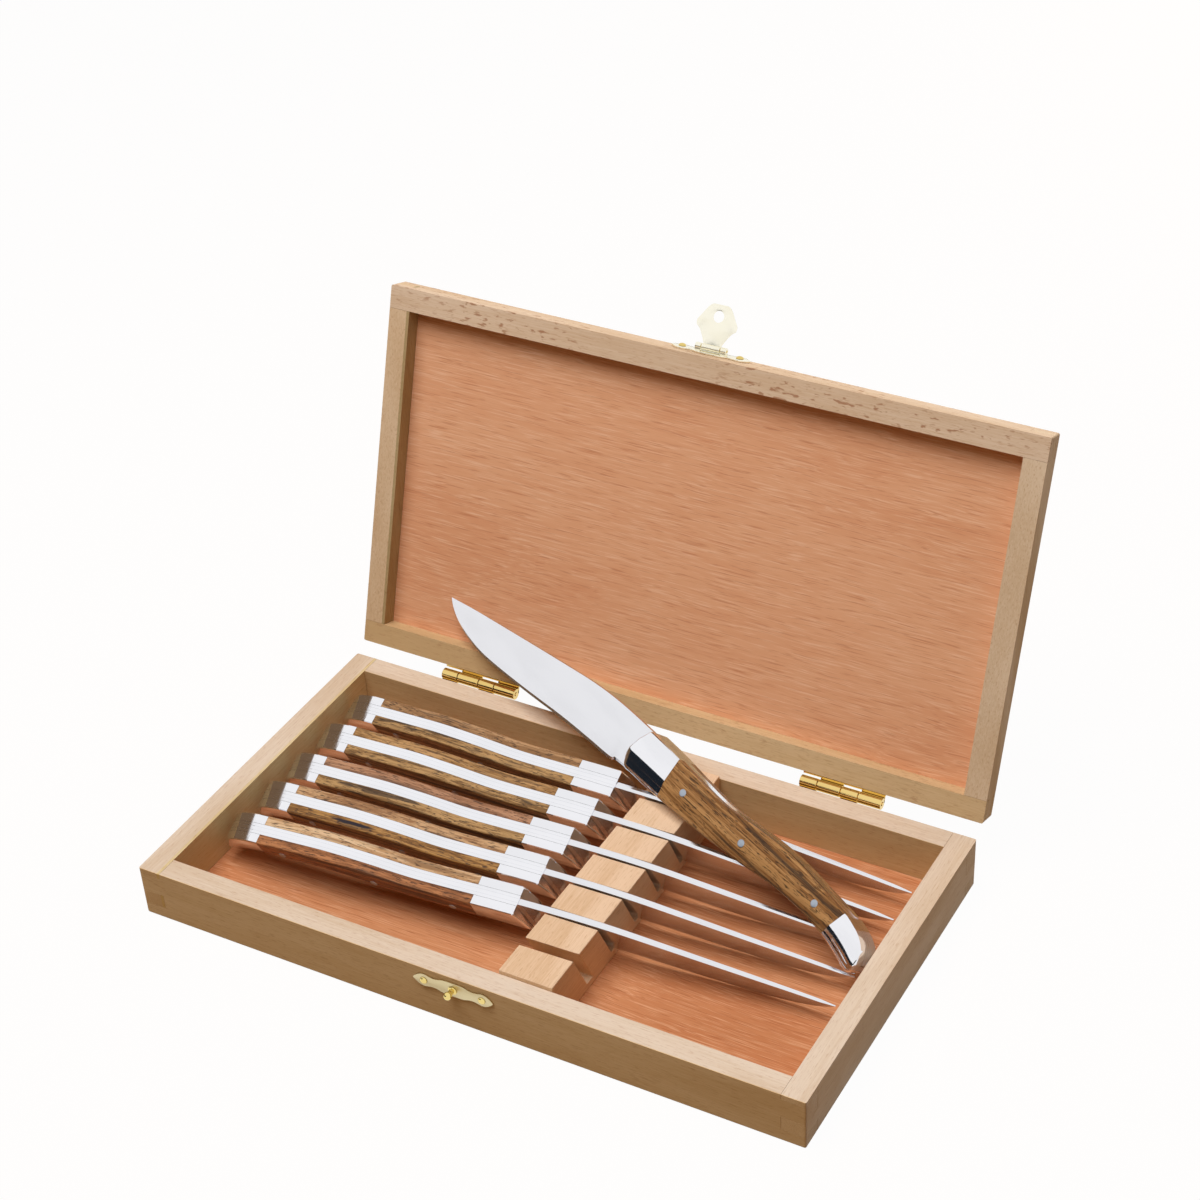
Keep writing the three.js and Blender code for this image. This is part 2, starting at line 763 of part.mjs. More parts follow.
function buildTray() {
  const tray = new THREE.Group();
  tray.add(...trayWood());
  tray.add(pieceMesh('knife_block', knifeBlock(), light_beech));
  for (const [side, centre] of Object.entries(hinge_centres)) {
    const leaf = pieceMesh(`hinge_${side}_tray_leaf`, leafSolid(centre, false), brass);
    const pin = pieceMesh(`hinge_${side}_pin`, hingePin(centre), brass);
    for (const piece of [leaf, pin]) {
      piece.position.set(0, half_depth + pivot_behind_case, tray_height);
      tray.add(piece);
    }
  }
  const plate = plateSolid().subtract(throughHole(knob_neck_radius + running_gap, 0, 0));
  tray.add(onFront(pieceMesh('catch_tray_plate', plate, brass), 0, tray_plate_z));
  tray.add(onFront(pieceMesh('catch_knob', knobSolid(), brass), 0, tray_plate_z));
  tray.add(...plateNails('catch_tray', tray_plate_z));
  return tray;
}

function buildLid() {
  const shut = new THREE.Group();
  shut.add(...lidWood());
  for (const [side, centre] of Object.entries(hinge_centres)) {
    const leaf = pieceMesh(`hinge_${side}_lid_leaf`, leafSolid(centre, true), brass);
    leaf.position.set(0, half_depth + pivot_behind_case, -lid_rim_gap);
    shut.add(leaf);
  }
  shut.add(onFront(pieceMesh('catch_lid_plate', lidPlate(), brass), 0, lid_plate_z));
  shut.add(onFront(pieceMesh('catch_flap_pin', flapPin(), brass), 0, lid_plate_z));
  shut.add(...plateNails('catch_lid', lid_plate_z));
  const flap = pieceMesh('catch_flap', flapSolid(), brass);
  flap.position.set(0, -half_depth - flap_pivot_out, lid_plate_z);
  flap.rotation.x = -radians(flap_open_angle);
  shut.add(flap);
  shut.position.set(0, -half_depth - pivot_behind_case, lid_rim_gap);
  const lid = new THREE.Group();
  lid.add(shut);
  lid.rotation.x = -radians(lid_open_angle);
  lid.position.set(0, half_depth + pivot_behind_case, tray_height);
  return lid;
}

const group = new THREE.Group();
group.add(buildTray(), buildLid());
knife_yaws.forEach((yaw, index) => group.add(storedKnife(index)));
group.add(laidKnife());

export default group;
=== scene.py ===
"""Looks for the beech knife case: woods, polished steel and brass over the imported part."""

from math import atan2, cos, pi, radians, sin, sqrt, tan

import bmesh
import bpy
from mathutils import Euler, Matrix, Vector


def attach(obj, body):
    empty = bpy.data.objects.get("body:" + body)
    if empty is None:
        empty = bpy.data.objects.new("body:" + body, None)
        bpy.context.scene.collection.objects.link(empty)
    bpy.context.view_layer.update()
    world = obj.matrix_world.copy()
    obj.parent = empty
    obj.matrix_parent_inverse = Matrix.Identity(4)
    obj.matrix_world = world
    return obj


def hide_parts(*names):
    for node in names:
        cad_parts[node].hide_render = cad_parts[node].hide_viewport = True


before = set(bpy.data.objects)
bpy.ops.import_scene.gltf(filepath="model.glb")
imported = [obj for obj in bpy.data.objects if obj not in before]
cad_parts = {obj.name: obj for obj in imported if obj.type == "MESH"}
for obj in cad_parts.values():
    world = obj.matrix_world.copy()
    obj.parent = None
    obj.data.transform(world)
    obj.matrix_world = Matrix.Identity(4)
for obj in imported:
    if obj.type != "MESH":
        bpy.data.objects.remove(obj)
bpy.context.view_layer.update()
scene = bpy.context.scene
scene.view_settings.view_transform = "Standard"

MM = 0.001

# Sizes that the part has too, in millimetres
TRAY_HEIGHT = 20.8
HALF_DEPTH = 70.5
PIVOT_BEHIND = 3.5
LID_ANGLE = 108.5
LID_GAP = 0.6
HINGE_CENTRES = {"left": -76.2, "right": 76.2}
TRAY_KNUCKLE = 6.9
LID_KNUCKLE = 9.3
BARREL_RADIUS = 2.2
PIN_RADIUS = 0.8
LEAF_THICKNESS = 0.8
LEAF_IN_WOOD = 6.0
PLATE_SEAT = 0.1
PLATE_THICKNESS = 0.7
LID_PLATE_HEIGHT = 6.0
TRAY_PLATE_HEIGHT = 16.1
NAIL_X = 11.4
NAIL_IN_WOOD = 5.0
FLAP_PIVOT_OUT = 2.1
FLAP_THICKNESS = 0.6
FLAP_LENGTH = 15.6
FLAP_HOLE = 11.3
FLAP_HOLE_RADIUS = 2.1
FLAP_OPEN_ANGLE = 105.5

HANDLE = 124.5
BLADE = 110.5
HALF_HANDLE = 5.6
LEAN_START = 11.0
LEAN_END = 22.0
SPRING_HALF = 0.72
TANG_HALF = 1.95
CAP_FROM_BUTT = 18.0
LAID_CAP_SLANT = 18.0
STORED_CAP_SLANT = 6.0
BOLSTER = 20.7
RIVET_RADIUS = 1.45
RIVET_PROUD = 0.2
RIVETS = [(94.5, 3.9), (63.2, 4.5), (26.2, 6.0)]
LINE_GAP = 0.07

# Outlines from butt to tip. The spine has a crease where the cap's curved end begins.
BUTT_CREASE = 13.3
CAP_END_LINE = [
    (0, 0.3), (0.4, 2.3), (1.4, 4.4), (3.4, 6.4), (6.4, 8.2), (10.2, 9.5), (BUTT_CREASE, 10.35),
]
SPINE_LINE = [
    (BUTT_CREASE, 10.35), (16, 10.6), (29, 11.7), (45, 12.9), (61, 12.3), (78, 10.8), (95, 11.5),
    (110, 12.6), (120.6, 12.9), (124.5, 12.9),
]
BELLY_LINE = [
    (0, -0.6), (0.7, -3.2), (3, -4.7), (10, -2.9), (19, -0.8), (30, 0.3), (45, 0.1), (62, -1.9),
    (82, -3.5), (104, -4.3), (124.5, -4.4),
]
FRONT_LINE = [(-4.4, 122.9), (-1, 124.4), (2.5, 124.7), (5.3, 124.2), (9.5, 122.6), (12.9, 120.5)]
BACK_LINE = [
    (119, 12.5), (134, 12.8), (145, 12.6), (157, 11.6), (171, 9.6), (188, 7.0), (207.5, 3.9),
    (222, 1.5), (235, -1.1),
]
EDGE_LINE = [
    (119, -4.4), (125, -4.7), (131.3, -5.1), (132.2, -6.0), (135, -6.4), (143, -6.6), (160, -7.3),
    (180, -8.8), (196, -9.7), (208, -9.8), (218, -8.5), (226, -6.4), (231.6, -3.6), (235, -1.1),
]
GRIND_FROM = 130.0
GRIND_LINE = [(-10, 127.9), (12.8, 131.7)]

# Where each knife is: its butt and its turns, in the part's order
BUTT_X = -118.5
BLOCK_MIDDLE = 22.9
BLOCK_TOP = 22.4
SPINE_AT_BLOCK = 12.8
SPINE_OVER_BLOCK = 1.2
SLOT_LEAN = 25.0
TIP_DOWN = 0.1
KNIFE_PLACES = {
    "knife_1": {"yaw": 3.3, "slot_y": -28.4},
    "knife_2": {"yaw": 2.2, "slot_y": -11.2},
    "knife_3": {"yaw": 1.7, "slot_y": 6.0},
    "knife_4": {"yaw": 0.6, "slot_y": 23.2},
    "knife_5": {"yaw": -0.4, "slot_y": 40.4},
}
LAID_BUTT = (119.0, -2.03, 16.72)
LAID_ROLL = 43.3
LAID_CLIMB = 7.32
LAID_YAW = 156.8

# Shapes that several pieces share, in millimetres. HANDLE_SHARP is an angle in degrees.
HANDLE_SHARP = 32
ON_PLATE = PLATE_SEAT + PLATE_THICKNESS + 0.1
LOOP_RADIUS = 1.2
LOOP_EASE = 0.12
LOOP_FROM = 3.9
LOOP_TO = 6.1
FLAP_BARREL_HALF = 3.6
FLAP_PIN_RADIUS = 0.5
FLAP_PIN_HALF = 6.2
FLAP_PIN_EASE = 0.08

# Floor, in metres
FLOOR_REACH = 4
FLOOR_DROP = 0.0002
FLOOR_GLOW = 1.08

QUARTER_ABOUT_X = Matrix.Rotation(radians(90), 4, "X")
QUARTER_ABOUT_Y = Matrix.Rotation(radians(90), 4, "Y")


# Small helpers for places, meshes and materials

def move_by(x, y, z):
    """A move, given in millimetres."""
    return Matrix.Translation(Vector((x, y, z)) * MM)


def mesh_object(name, bm, materials):
    """Makes an object of a finished form and puts it in the scene."""
    mesh = bpy.data.meshes.new(name)
    bm.to_mesh(mesh)
    bm.free()
    for material in materials:
        mesh.materials.append(material)
    made = bpy.data.objects.new(name, mesh)
    scene.collection.objects.link(made)
    return made


def linear(red, green, blue):
    """A colour as seen on a screen, 0 to 255, as the shader wants it."""
    def one(value):
        value /= 255
        return value / 12.92 if value <= 0.04045 else ((value + 0.055) / 1.055) ** 2.4
    return (one(red), one(green), one(blue), 1)


def feed(tree, value, socket):
    """A socket takes what another node puts out, or a plain number or colour."""
    if isinstance(value, bpy.types.NodeSocket):
        tree.links.new(value, socket)
    else:
        socket.default_value = value


def math_node(tree, operation, first, second):
    node = tree.nodes.new("ShaderNodeMath")
    node.operation = operation
    feed(tree, first, node.inputs[0])
    feed(tree, second, node.inputs[1])
    return node.outputs[0]


def stretched(tree, vector, along, across):
    node = tree.nodes.new("ShaderNodeVectorMath")
    node.operation = "MULTIPLY"
    node.inputs[1].default_value = (along, across, across)
    tree.links.new(vector, node.inputs[0])
    return node.outputs[0]


def noise(tree, vector, detail, roughness, distortion=0.0):
    node = tree.nodes.new("ShaderNodeTexNoise")
    node.inputs["Scale"].default_value = 1
    node.inputs["Detail"].default_value = detail
    node.inputs["Roughness"].default_value = roughness
    node.inputs["Distortion"].default_value = distortion
    tree.links.new(vector, node.inputs["Vector"])
    return node.outputs["Fac"]


def between(tree, value, low, high, out_low=0.0, out_high=1.0):
    node = tree.nodes.new("ShaderNodeMapRange")
    node.interpolation_type = "SMOOTHSTEP"
    node.inputs["From Min"].default_value = low
    node.inputs["From Max"].default_value = high
    node.inputs["To Min"].default_value = out_low
    node.inputs["To Max"].default_value = out_high
    tree.links.new(value, node.inputs["Value"])
    return node.outputs["Result"]


def colour_mix(tree, factor, first, second, blend="MIX"):
    node = tree.nodes.new("ShaderNodeMix")
    node.data_type = "RGBA"
    node.blend_type = blend
    sockets = {socket.name: socket for socket in node.inputs if socket.enabled}
    for name, value in (("Factor", factor), ("A", first), ("B", second)):
        feed(tree, value, sockets[name])
    return [socket for socket in node.outputs if socket.enabled][0]


def laid_over(tree, mask, amount, colour, over):
    """A colour with another laid over it where a mask is, by an amount."""
    return colour_mix(tree, math_node(tree, "MULTIPLY", mask, amount), colour, over)


def blended(tree, first, share, second):
    """Two fields in one: the first has its share, and the second has the rest."""
    return math_node(tree, "ADD", math_node(tree, "MULTIPLY", first, share),
                     math_node(tree, "MULTIPLY", second, 1 - share))


def shader_mix(tree, factor, first, second):
    node = tree.nodes.new("ShaderNodeMixShader")
    for source, socket in zip((factor, first.outputs[0], second.outputs[0]), node.inputs):
        tree.links.new(source, socket)
    return node


def empty_material(name):
    """A new material with nothing in its node tree."""
    material = bpy.data.materials.new(name)
    material.use_nodes = True
    material.node_tree.nodes.clear()
    return material, material.node_tree


# Camera, as it stood for the photograph

def photo_camera():
    data = bpy.data.cameras.new("camera")
    data.sensor_width = 36
    data.lens = 75.386
    data.shift_x = -0.0601
    data.shift_y = 0.1131
    data.clip_start = 0.01
    camera = bpy.data.objects.new("camera", data)
    scene.collection.objects.link(camera)
    right = Vector((0.8859, 0.4628, -0.0309))
    ahead = Vector((-0.3808, 0.6877, -0.6180)).normalized()
    up = right.cross(ahead).normalized()
    right = ahead.cross(up)
    turn = Matrix((right, up, -ahead)).transposed()
    camera.matrix_world = Matrix.Translation((0.36227, -0.56725, 0.59965)) @ turn.to_4x4()
    scene.camera = camera


# Light: a soft box overhead, a weak one behind, a warm room, and a white surround for the metal

def soft_box(name, place, aim, size, power, colour):
    data = bpy.data.lights.new(name, "AREA")
    data.shape = "RECTANGLE"
    data.color = colour
    data.size, data.size_y = size
    data.energy = power
    lamp = bpy.data.objects.new(name, data)
    lamp.location = place
    lamp.rotation_euler = (Vector(aim) - Vector(place)).to_track_quat("-Z", "Y").to_euler()
    lamp.visible_glossy = False
    scene.collection.objects.link(lamp)


def seen_directly(tree):
    """One for the rays that see the surround: the camera's, mirrored and refracted ones."""
    path = tree.nodes.new("ShaderNodeLightPath")
    seen = math_node(tree, "MAXIMUM", path.outputs["Is Camera Ray"], path.outputs["Is Glossy Ray"])
    return math_node(tree, "MAXIMUM", seen, path.outputs["Is Transmission Ray"])


def white_room(fill_colour, fill_strength):
    """A world that looks white and lights the case with a weak, warm fill."""
    world = bpy.data.worlds.new("white_room")
    scene.world = world
    world.use_nodes = True
    tree = world.node_tree
    tree.nodes.clear()
    fill = tree.nodes.new("ShaderNodeBackground")
    fill.inputs["Color"].default_value = fill_colour
    fill.inputs["Strength"].default_value = fill_strength
    white = tree.nodes.new("ShaderNodeBackground")
    white.inputs["Color"].default_value = (1, 1, 1, 1)
    white.inputs["Strength"].default_value = 1
    room = shader_mix(tree, seen_directly(tree), fill, white)
    out = tree.nodes.new("ShaderNodeOutputWorld")
    tree.links.new(room.outputs[0], out.inputs["Surface"])


def floor_look(colour, glow_share):
    """White from above with the shadow kept, and clear from below."""
    material, tree = empty_material("floor")
    share = math_node(tree, "MULTIPLY", seen_directly(tree), glow_share)
    plain = tree.nodes.new("ShaderNodeBsdfDiffuse")
    plain.inputs["Color"].default_value = colour
    glow = tree.nodes.new("ShaderNodeEmission")
    glow.inputs["Strength"].default_value = FLOOR_GLOW
    above = shader_mix(tree, share, plain, glow)
    from_below = tree.nodes.new("ShaderNodeNewGeometry").outputs["Backfacing"]
    whole = shader_mix(tree, from_below, above, tree.nodes.new("ShaderNodeBsdfTransparent"))
    out = tree.nodes.new("ShaderNodeOutputMaterial")
    tree.links.new(whole.outputs[0], out.inputs["Surface"])
    return material


def pale_floor(colour, glow_share):
    bm = bmesh.new()
    bmesh.ops.create_grid(bm, x_segments=1, y_segments=1, size=FLOOR_REACH)
    bmesh.ops.translate(bm, verts=bm.verts, vec=(0, 0, -FLOOR_DROP))
    mesh_object("floor", bm, [floor_look(colour, glow_share)])


def card_look(name, colour):
    material, tree = empty_material(name)
    shade = tree.nodes.new("ShaderNodeEmission")
    shade.inputs["Color"].default_value = colour
    shade.inputs["Strength"].default_value = 1
    out = tree.nodes.new("ShaderNodeOutputMaterial")
    tree.links.new(shade.outputs[0], out.inputs["Surface"])
    return material


def upright_card(name, start, end, low, high, colour):
    """A card that stands on a line between two places on the floor. Only polished metal shows it."""
    start, end = Vector(start), Vector(end)
    along = (end - start).angle_signed(Vector((1, 0)))
    middle = Vector(((start.x + end.x) / 2, (start.y + end.y) / 2, (low + high) / 2))
    place = Matrix.Translation(middle) @ Matrix.Rotation(along, 4, "Z") @ QUARTER_ABOUT_X
    size = Matrix.Diagonal(((end - start).length, high - low, 1, 1))
    bm = bmesh.new()
    bmesh.ops.create_grid(bm, x_segments=1, y_segments=1, size=0.5, matrix=place @ size)
    card = mesh_object(name, bm, [card_look(name, colour)])
    card.visible_camera = False
    card.visible_diffuse = False
    card.visible_transmission = False
    card.visible_shadow = False


# Patterns of the woods and the metal, each built once

def wandered(tree, vector, amount_field, reach):
    """The vector, moved across the grain by a slow field, so that stripes wander."""
    bend = tree.nodes.new("ShaderNodeVectorMath")
    bend.operation = "ADD"
    shift = tree.nodes.new("ShaderNodeCombineXYZ")
    moved = math_node(tree, "MULTIPLY", amount_field, reach)
    tree.links.new(moved, shift.inputs["Y"])
    tree.links.new(moved, shift.inputs["Z"])
    tree.links.new(vector, bend.inputs[0])
    tree.links.new(shift.outputs[0], bend.inputs[1])
    return bend.outputs[0]


def new_group(name):
    """A pattern's node group, and the place that the pattern reads."""
    group = bpy.data.node_groups.new(name, "ShaderNodeTree")
    group.interface.new_socket("Vector", in_out="INPUT", socket_type="NodeSocketVector")
    return group, group.nodes.new("NodeGroupInput").outputs["Vector"]


def put_out(group, **fields):
    """Gives the group an output for each named field."""
    for name in fields:
        group.interface.new_socket(name, in_out="OUTPUT", socket_type="NodeSocketFloat")
    out = group.nodes.new("NodeGroupOutput")
    for name, field in fields.items():
        group.links.new(field, out.inputs[name])
    return group


def beech_group():
    """Plain beech: slow tone, fine fibres, many small dashes, and scattered brown spots."""
    group, vector = new_group("beech_grain")
    slow = noise(group, stretched(group, vector, 9, 60), 2, 0.5, 0.5)
    fibre = noise(group, stretched(group, vector, 70, 2000), 4, 0.6)
    tone = blended(group, slow, 0.55, fibre)
    dashes = between(group, noise(group, stretched(group, vector, 280, 2500), 2, 0.5), 0.57, 0.70)
    where = between(group, noise(group, stretched(group, vector, 16, 70), 1, 0.5), 0.44, 0.62)
    flakes = noise(group, stretched(group, vector, 230, 720), 2, 0.55, 0.3)
    spots = math_node(group, "MULTIPLY", between(group, flakes, 0.57, 0.68), where)
    height = math_node(group, "SUBTRACT", fibre, math_node(group, "MULTIPLY", dashes, 0.4))
    return put_out(group, Tone=between(group, tone, 0.36, 0.64), Dashes=dashes, Spots=spots,
                   Height=height)


def ply_group():
    """Rotary-cut reddish veneer: short straight light and dark streaks over a slow figure."""
    group, vector = new_group("veneer_grain")
    flow = noise(group, stretched(group, vector, 7, 22), 2, 0.5, 0.8)
    bent = wandered(group, vector, flow, 0.006)
    bands = noise(group, stretched(group, bent, 14, 300), 3, 0.6)
    tone = blended(group, flow, 0.6, bands)
    light = noise(group, stretched(group, bent, 62, 2500), 2, 0.6)
    dark = noise(group, stretched(group, wandered(group, bent, light, 0.0003), 75, 2300), 2, 0.6)
    return put_out(group, Tone=between(group, tone, 0.36, 0.64), Light=between(group, light, 0.50, 0.68),
                   Dark=between(group, dark, 0.54, 0.70), Height=light)


def streaked_group():
    """Striped hardwood: fine light and brown stripes, dark streaks and open pores."""
    group, vector = new_group("streaked_grain")
    slow = noise(group, stretched(group, vector, 18, 50), 2, 0.5)
    bent = wandered(group, vector, slow, 0.004)
    fine = noise(group, stretched(group, bent, 24, 1500), 3, 0.65)
    broad = noise(group, stretched(group, bent, 9, 330), 3, 0.55)
    stripes = blended(group, fine, 0.55, broad)
    dark = noise(group, stretched(group, bent, 11, 420), 3, 0.55, 0.3)
    pores = between(group, noise(group, stretched(group, bent, 260, 2400), 2, 0.55), 0.56, 0.63)
    height = math_node(group, "SUBTRACT", fine, math_node(group, "MULTIPLY", pores, 0.8))
    return put_out(group, Stripes=between(group, stripes, 0.43, 0.57),
                   Dark=between(group, dark, 0.54, 0.64), Pores=pores, Height=height)


def rubbed_group():
    """Fine lengthwise polishing lines and faint smears on metal."""
    group, vector = new_group("rubbed_metal")
    lines = noise(group, stretched(group, vector, 60, 5200), 2, 0.6)
    smear = noise(group, stretched(group, vector, 45, 140), 3, 0.5)
    return put_out(group, Smear=between(group, smear, 0.35, 0.7), Height=lines)


GRAINS = {
    "beech": beech_group(),
    "ply": ply_group(),
    "streaked": streaked_group(),
    "rubbed": rubbed_group(),
}


# Materials

def started(name, turn, shift):
    """A new material, and its place turned and shifted so that the grain lies along X."""
    material = bpy.data.materials.new(name)
    material.use_nodes = True
    tree = material.node_tree
    shader = tree.nodes["Principled BSDF"]
    coords = tree.nodes.new("ShaderNodeTexCoord")
    mapping = tree.nodes.new("ShaderNodeMapping")
    mapping.vector_type = "TEXTURE"
    mapping.inputs["Rotation"].default_value = turn
    mapping.inputs["Location"].default_value = shift
    tree.links.new(coords.outputs["Object"], mapping.inputs["Vector"])
    return material, tree, shader, mapping.outputs["Vector"]


def placed_grain(tree, kind, vector):
    node = tree.nodes.new("ShaderNodeGroup")
    node.node_tree = GRAINS[kind]
    tree.links.new(vector, node.inputs["Vector"])
    return node


def bumped(tree, shader, height, strength, distance):
    bump = tree.nodes.new("ShaderNodeBump")
    bump.inputs["Strength"].default_value = strength
    bump.inputs["Distance"].default_value = distance
    tree.links.new(height, bump.inputs["Height"])
    tree.links.new(bump.outputs["Normal"], shader.inputs["Normal"])


def wood_surface(tree, shader, colour, roughness, specular, height, depth):
    """Gives a wood's shader its colour, its roughness and the height of its fibres."""
    tree.links.new(colour, shader.inputs["Base Color"])
    tree.links.new(roughness, shader.inputs["Roughness"])
    shader.inputs["Specular IOR Level"].default_value = specular
    bumped(tree, shader, height, strength=0.25, distance=depth)


def painted_shade(tree, colour, axis, at, toward, shade_tint):
    """Painted shade on one face: the colour multiplied by a tint where the piece lies beyond a distance
    along an axis.
    """
    coords = [node for node in tree.nodes if node.type == "TEX_COORD"][0]
    parts = tree.nodes.new("ShaderNodeSeparateXYZ")
    tree.links.new(coords.outputs["Object"], parts.inputs[0])
    beyond = "GREATER_THAN" if toward > 0 else "LESS_THAN"
    reached = math_node(tree, beyond, parts.outputs[axis], at * MM)
    return colour_mix(tree, reached, colour, shade_tint, "MULTIPLY")


def beech(name, turn, shift, light, dark, dash, spot, dash_amount=0.35, spot_amount=0.0, shade_tints=()):
    """Beech whose fibres run along X once the pattern is turned. Some faces may be darkened with painted
    shade.
    """
    material, tree, shader, vector = started(name, turn, shift)
    grain = placed_grain(tree, "beech", vector).outputs
    colour = colour_mix(tree, grain["Tone"], light, dark)
    colour = laid_over(tree, grain["Dashes"], dash_amount, colour, dash)
    if spot_amount:
        colour = laid_over(tree, grain["Spots"], spot_amount, colour, spot)
    # Painted shade, laid on the faces given for this piece
    for shade_tint in shade_tints:
        colour = painted_shade(tree, colour, *shade_tint)
    roughness = between(tree, grain["Tone"], 0, 1, 0.55, 0.68)
    wood_surface(tree, shader, colour, roughness, specular=0.25, height=grain["Height"], depth=0.0001)
    return material


def veneer(name, turn, shift, base, figure, light, dark):
    """The panels' veneer, with light and dark streaks over its figure."""
    material, tree, shader, vector = started(name, turn, shift)
    grain = placed_grain(tree, "ply", vector).outputs
    colour = colour_mix(tree, grain["Tone"], base, figure)
    colour = laid_over(tree, grain["Light"], 0.6, colour, light)
    colour = laid_over(tree, grain["Dark"], 0.7, colour, dark)
    roughness = between(tree, grain["Dark"], 0, 1, 0.55, 0.7)
    wood_surface(tree, shader, colour, roughness, specular=0.25, height=grain["Height"], depth=0.0001)
    return material


def scale_wood(name, place, shift, light, brown, dark, dark_amount):
    """A handle's wood. The pattern lies along the knife that stands at place."""
    material, tree, shader, vector = started(name, place.to_euler("XYZ"), place.translation)
    moved = tree.nodes.new("ShaderNodeVectorMath")
    moved.inputs[1].default_value = shift
    tree.links.new(vector, moved.inputs[0])
    grain = placed_grain(tree, "streaked", moved.outputs[0]).outputs
    colour = colour_mix(tree, grain["Stripes"], light, brown)
    colour = laid_over(tree, grain["Dark"], dark_amount, colour, dark)
    colour = laid_over(tree, grain["Pores"], 0.8, colour, dark)
    roughness = between(tree, grain["Stripes"], 0, 1, 0.36, 0.48)
    wood_surface(tree, shader, colour, roughness, specular=0.35, height=grain["Height"], depth=0.00008)
    return material


def polished(name, place, colour, smeared, roughness, line_bump):
    """Metal with polishing lines along the piece that stands at place."""
    material, tree, shader, vector = started(name, place.to_euler("XYZ"), place.translation)
    grain = placed_grain(tree, "rubbed", vector).outputs
    tree.links.new(colour_mix(tree, grain["Smear"], colour, smeared), shader.inputs["Base Color"])
    roughest = roughness * 1.25
    tree.links.new(between(tree, grain["Smear"], 0, 1, roughness, roughest), shader.inputs["Roughness"])
    shader.inputs["Metallic"].default_value = 1
    if line_bump:
        bumped(tree, shader, grain["Height"], strength=line_bump, distance=0.00002)
    return material


# Places of the pieces. Each place takes what is drawn in a piece's own axes to the whole.

def tray_hinge_place():
    return move_by(0, HALF_DEPTH + PIVOT_BEHIND, TRAY_HEIGHT)


def lid_place():
    """From the lid as drawn shut, z = 0 at its rim, to the open lid."""
    shut = move_by(0, -HALF_DEPTH - PIVOT_BEHIND, LID_GAP)
    return tray_hinge_place() @ Matrix.Rotation(-radians(LID_ANGLE), 4, "X") @ shut


def lid_hinge_place():
    return lid_place() @ move_by(0, HALF_DEPTH + PIVOT_BEHIND, -LID_GAP)


def on_front(height, x=0.0):
    return move_by(x, -HALF_DEPTH, height)


def flap_place():
    pivot = move_by(0, -HALF_DEPTH - FLAP_PIVOT_OUT, LID_PLATE_HEIGHT)
    return lid_place() @ pivot @ Matrix.Rotation(-radians(FLAP_OPEN_ANGLE), 4, "X")


def stored_place(yaw, slot_y):
    """A knife in its slot, leaning with it, its spine a little over the block."""
    turn = (Matrix.Rotation(radians(yaw), 4, "Z") @ Matrix.Rotation(radians(SLOT_LEAN), 4, "X")
            @ Matrix.Rotation(radians(TIP_DOWN), 4, "Y"))
    in_slot = turn @ Vector((BLOCK_MIDDLE - BUTT_X, 0, SPINE_AT_BLOCK))
    lean_shift = SPINE_OVER_BLOCK * tan(radians(SLOT_LEAN))
    height = BLOCK_TOP + SPINE_OVER_BLOCK - in_slot.z
    return move_by(BUTT_X, slot_y - lean_shift - in_slot.y, height) @ turn


def laid_place():
    """The knife that lies across the others."""
    turn = Euler((radians(LAID_ROLL), -radians(LAID_CLIMB), radians(LAID_YAW)), "XYZ")
    return move_by(*LAID_BUTT) @ turn.to_matrix().to_4x4()


# Modelling

def line_value(line, at):
    """The height of a smooth line through points at a distance along it."""
    at = min(max(at, line[0][0]), line[-1][0])
    index = max(i for i in range(len(line) - 1) if line[i][0] <= at or i == 0)
    (x1, y1), (x2, y2) = line[index], line[index + 1]
    x0, y0 = line[index - 1] if index > 0 else (2 * x1 - x2, 2 * y1 - y2)
    x3, y3 = line[index + 2] if index + 2 < len(line) else (2 * x2 - x1, 2 * y2 - y1)
    share = (at - x1) / (x2 - x1)
    slope1 = (y2 - y0) / (x2 - x0) * (x2 - x1)
    slope2 = (y3 - y1) / (x3 - x1) * (x2 - x1)
    s2, s3 = share * share, share ** 3
    return ((2 * s3 - 3 * s2 + 1) * y1 + (s3 - 2 * s2 + share) * slope1
            + (3 * s2 - 2 * s3) * y2 + (s3 - s2) * slope2)


def add_rod(bm, segments, radius, length, place):
    """A closed round rod, which lies along Z until it is placed."""
    bmesh.ops.create_cone(bm, cap_ends=True, segments=segments, radius1=radius, radius2=radius,
                          depth=length, matrix=place)


def lies_across(edge, axis):
    """Whether an edge is square to an axis, which is 0, 1 or 2."""
    return abs(edge.verts[0].co[axis] - edge.verts[1].co[axis]) < 1e-7


def eased(bm, edges, width, segments):
    """Rounds edges to a width in millimetres."""
    bmesh.ops.bevel(bm, geom=edges, offset=width * MM, segments=segments, profile=0.5,
                    affect="EDGES", material=-1)


def ringed_rod(bm, segments, rings):
    """A closed rod from x = 0 to 1 with so many rings of corners, to be drawn into a shape."""
    add_rod(bm, segments, 1, 1, Matrix.Translation((0.5, 0, 0)) @ QUARTER_ABOUT_Y)
    lengthwise = [e for e in bm.edges if abs(e.verts[0].co.x - e.verts[1].co.x) > 0.5]
    bmesh.ops.subdivide_edges(bm, edges=lengthwise, cuts=rings - 2)


def ring_place(vert, segments, rings):
    """Which ring of the rod a vertex is on, and which of its ring's corners it is."""
    corner = round(atan2(vert.co.z, vert.co.y) / (2 * pi / segments)) % segments
    return round(vert.co.x * (rings - 1)), corner


def crisp(bm, degrees):
    """Smooth faces that meet in a sharp edge where they turn by more than the angle."""
    bmesh.ops.recalc_face_normals(bm, faces=bm.faces)
    for face in bm.faces:
        face.smooth = True
    for edge in bm.edges:
        if edge.is_manifold and edge.calc_face_angle() > radians(degrees):
            edge.smooth = False
    return bm


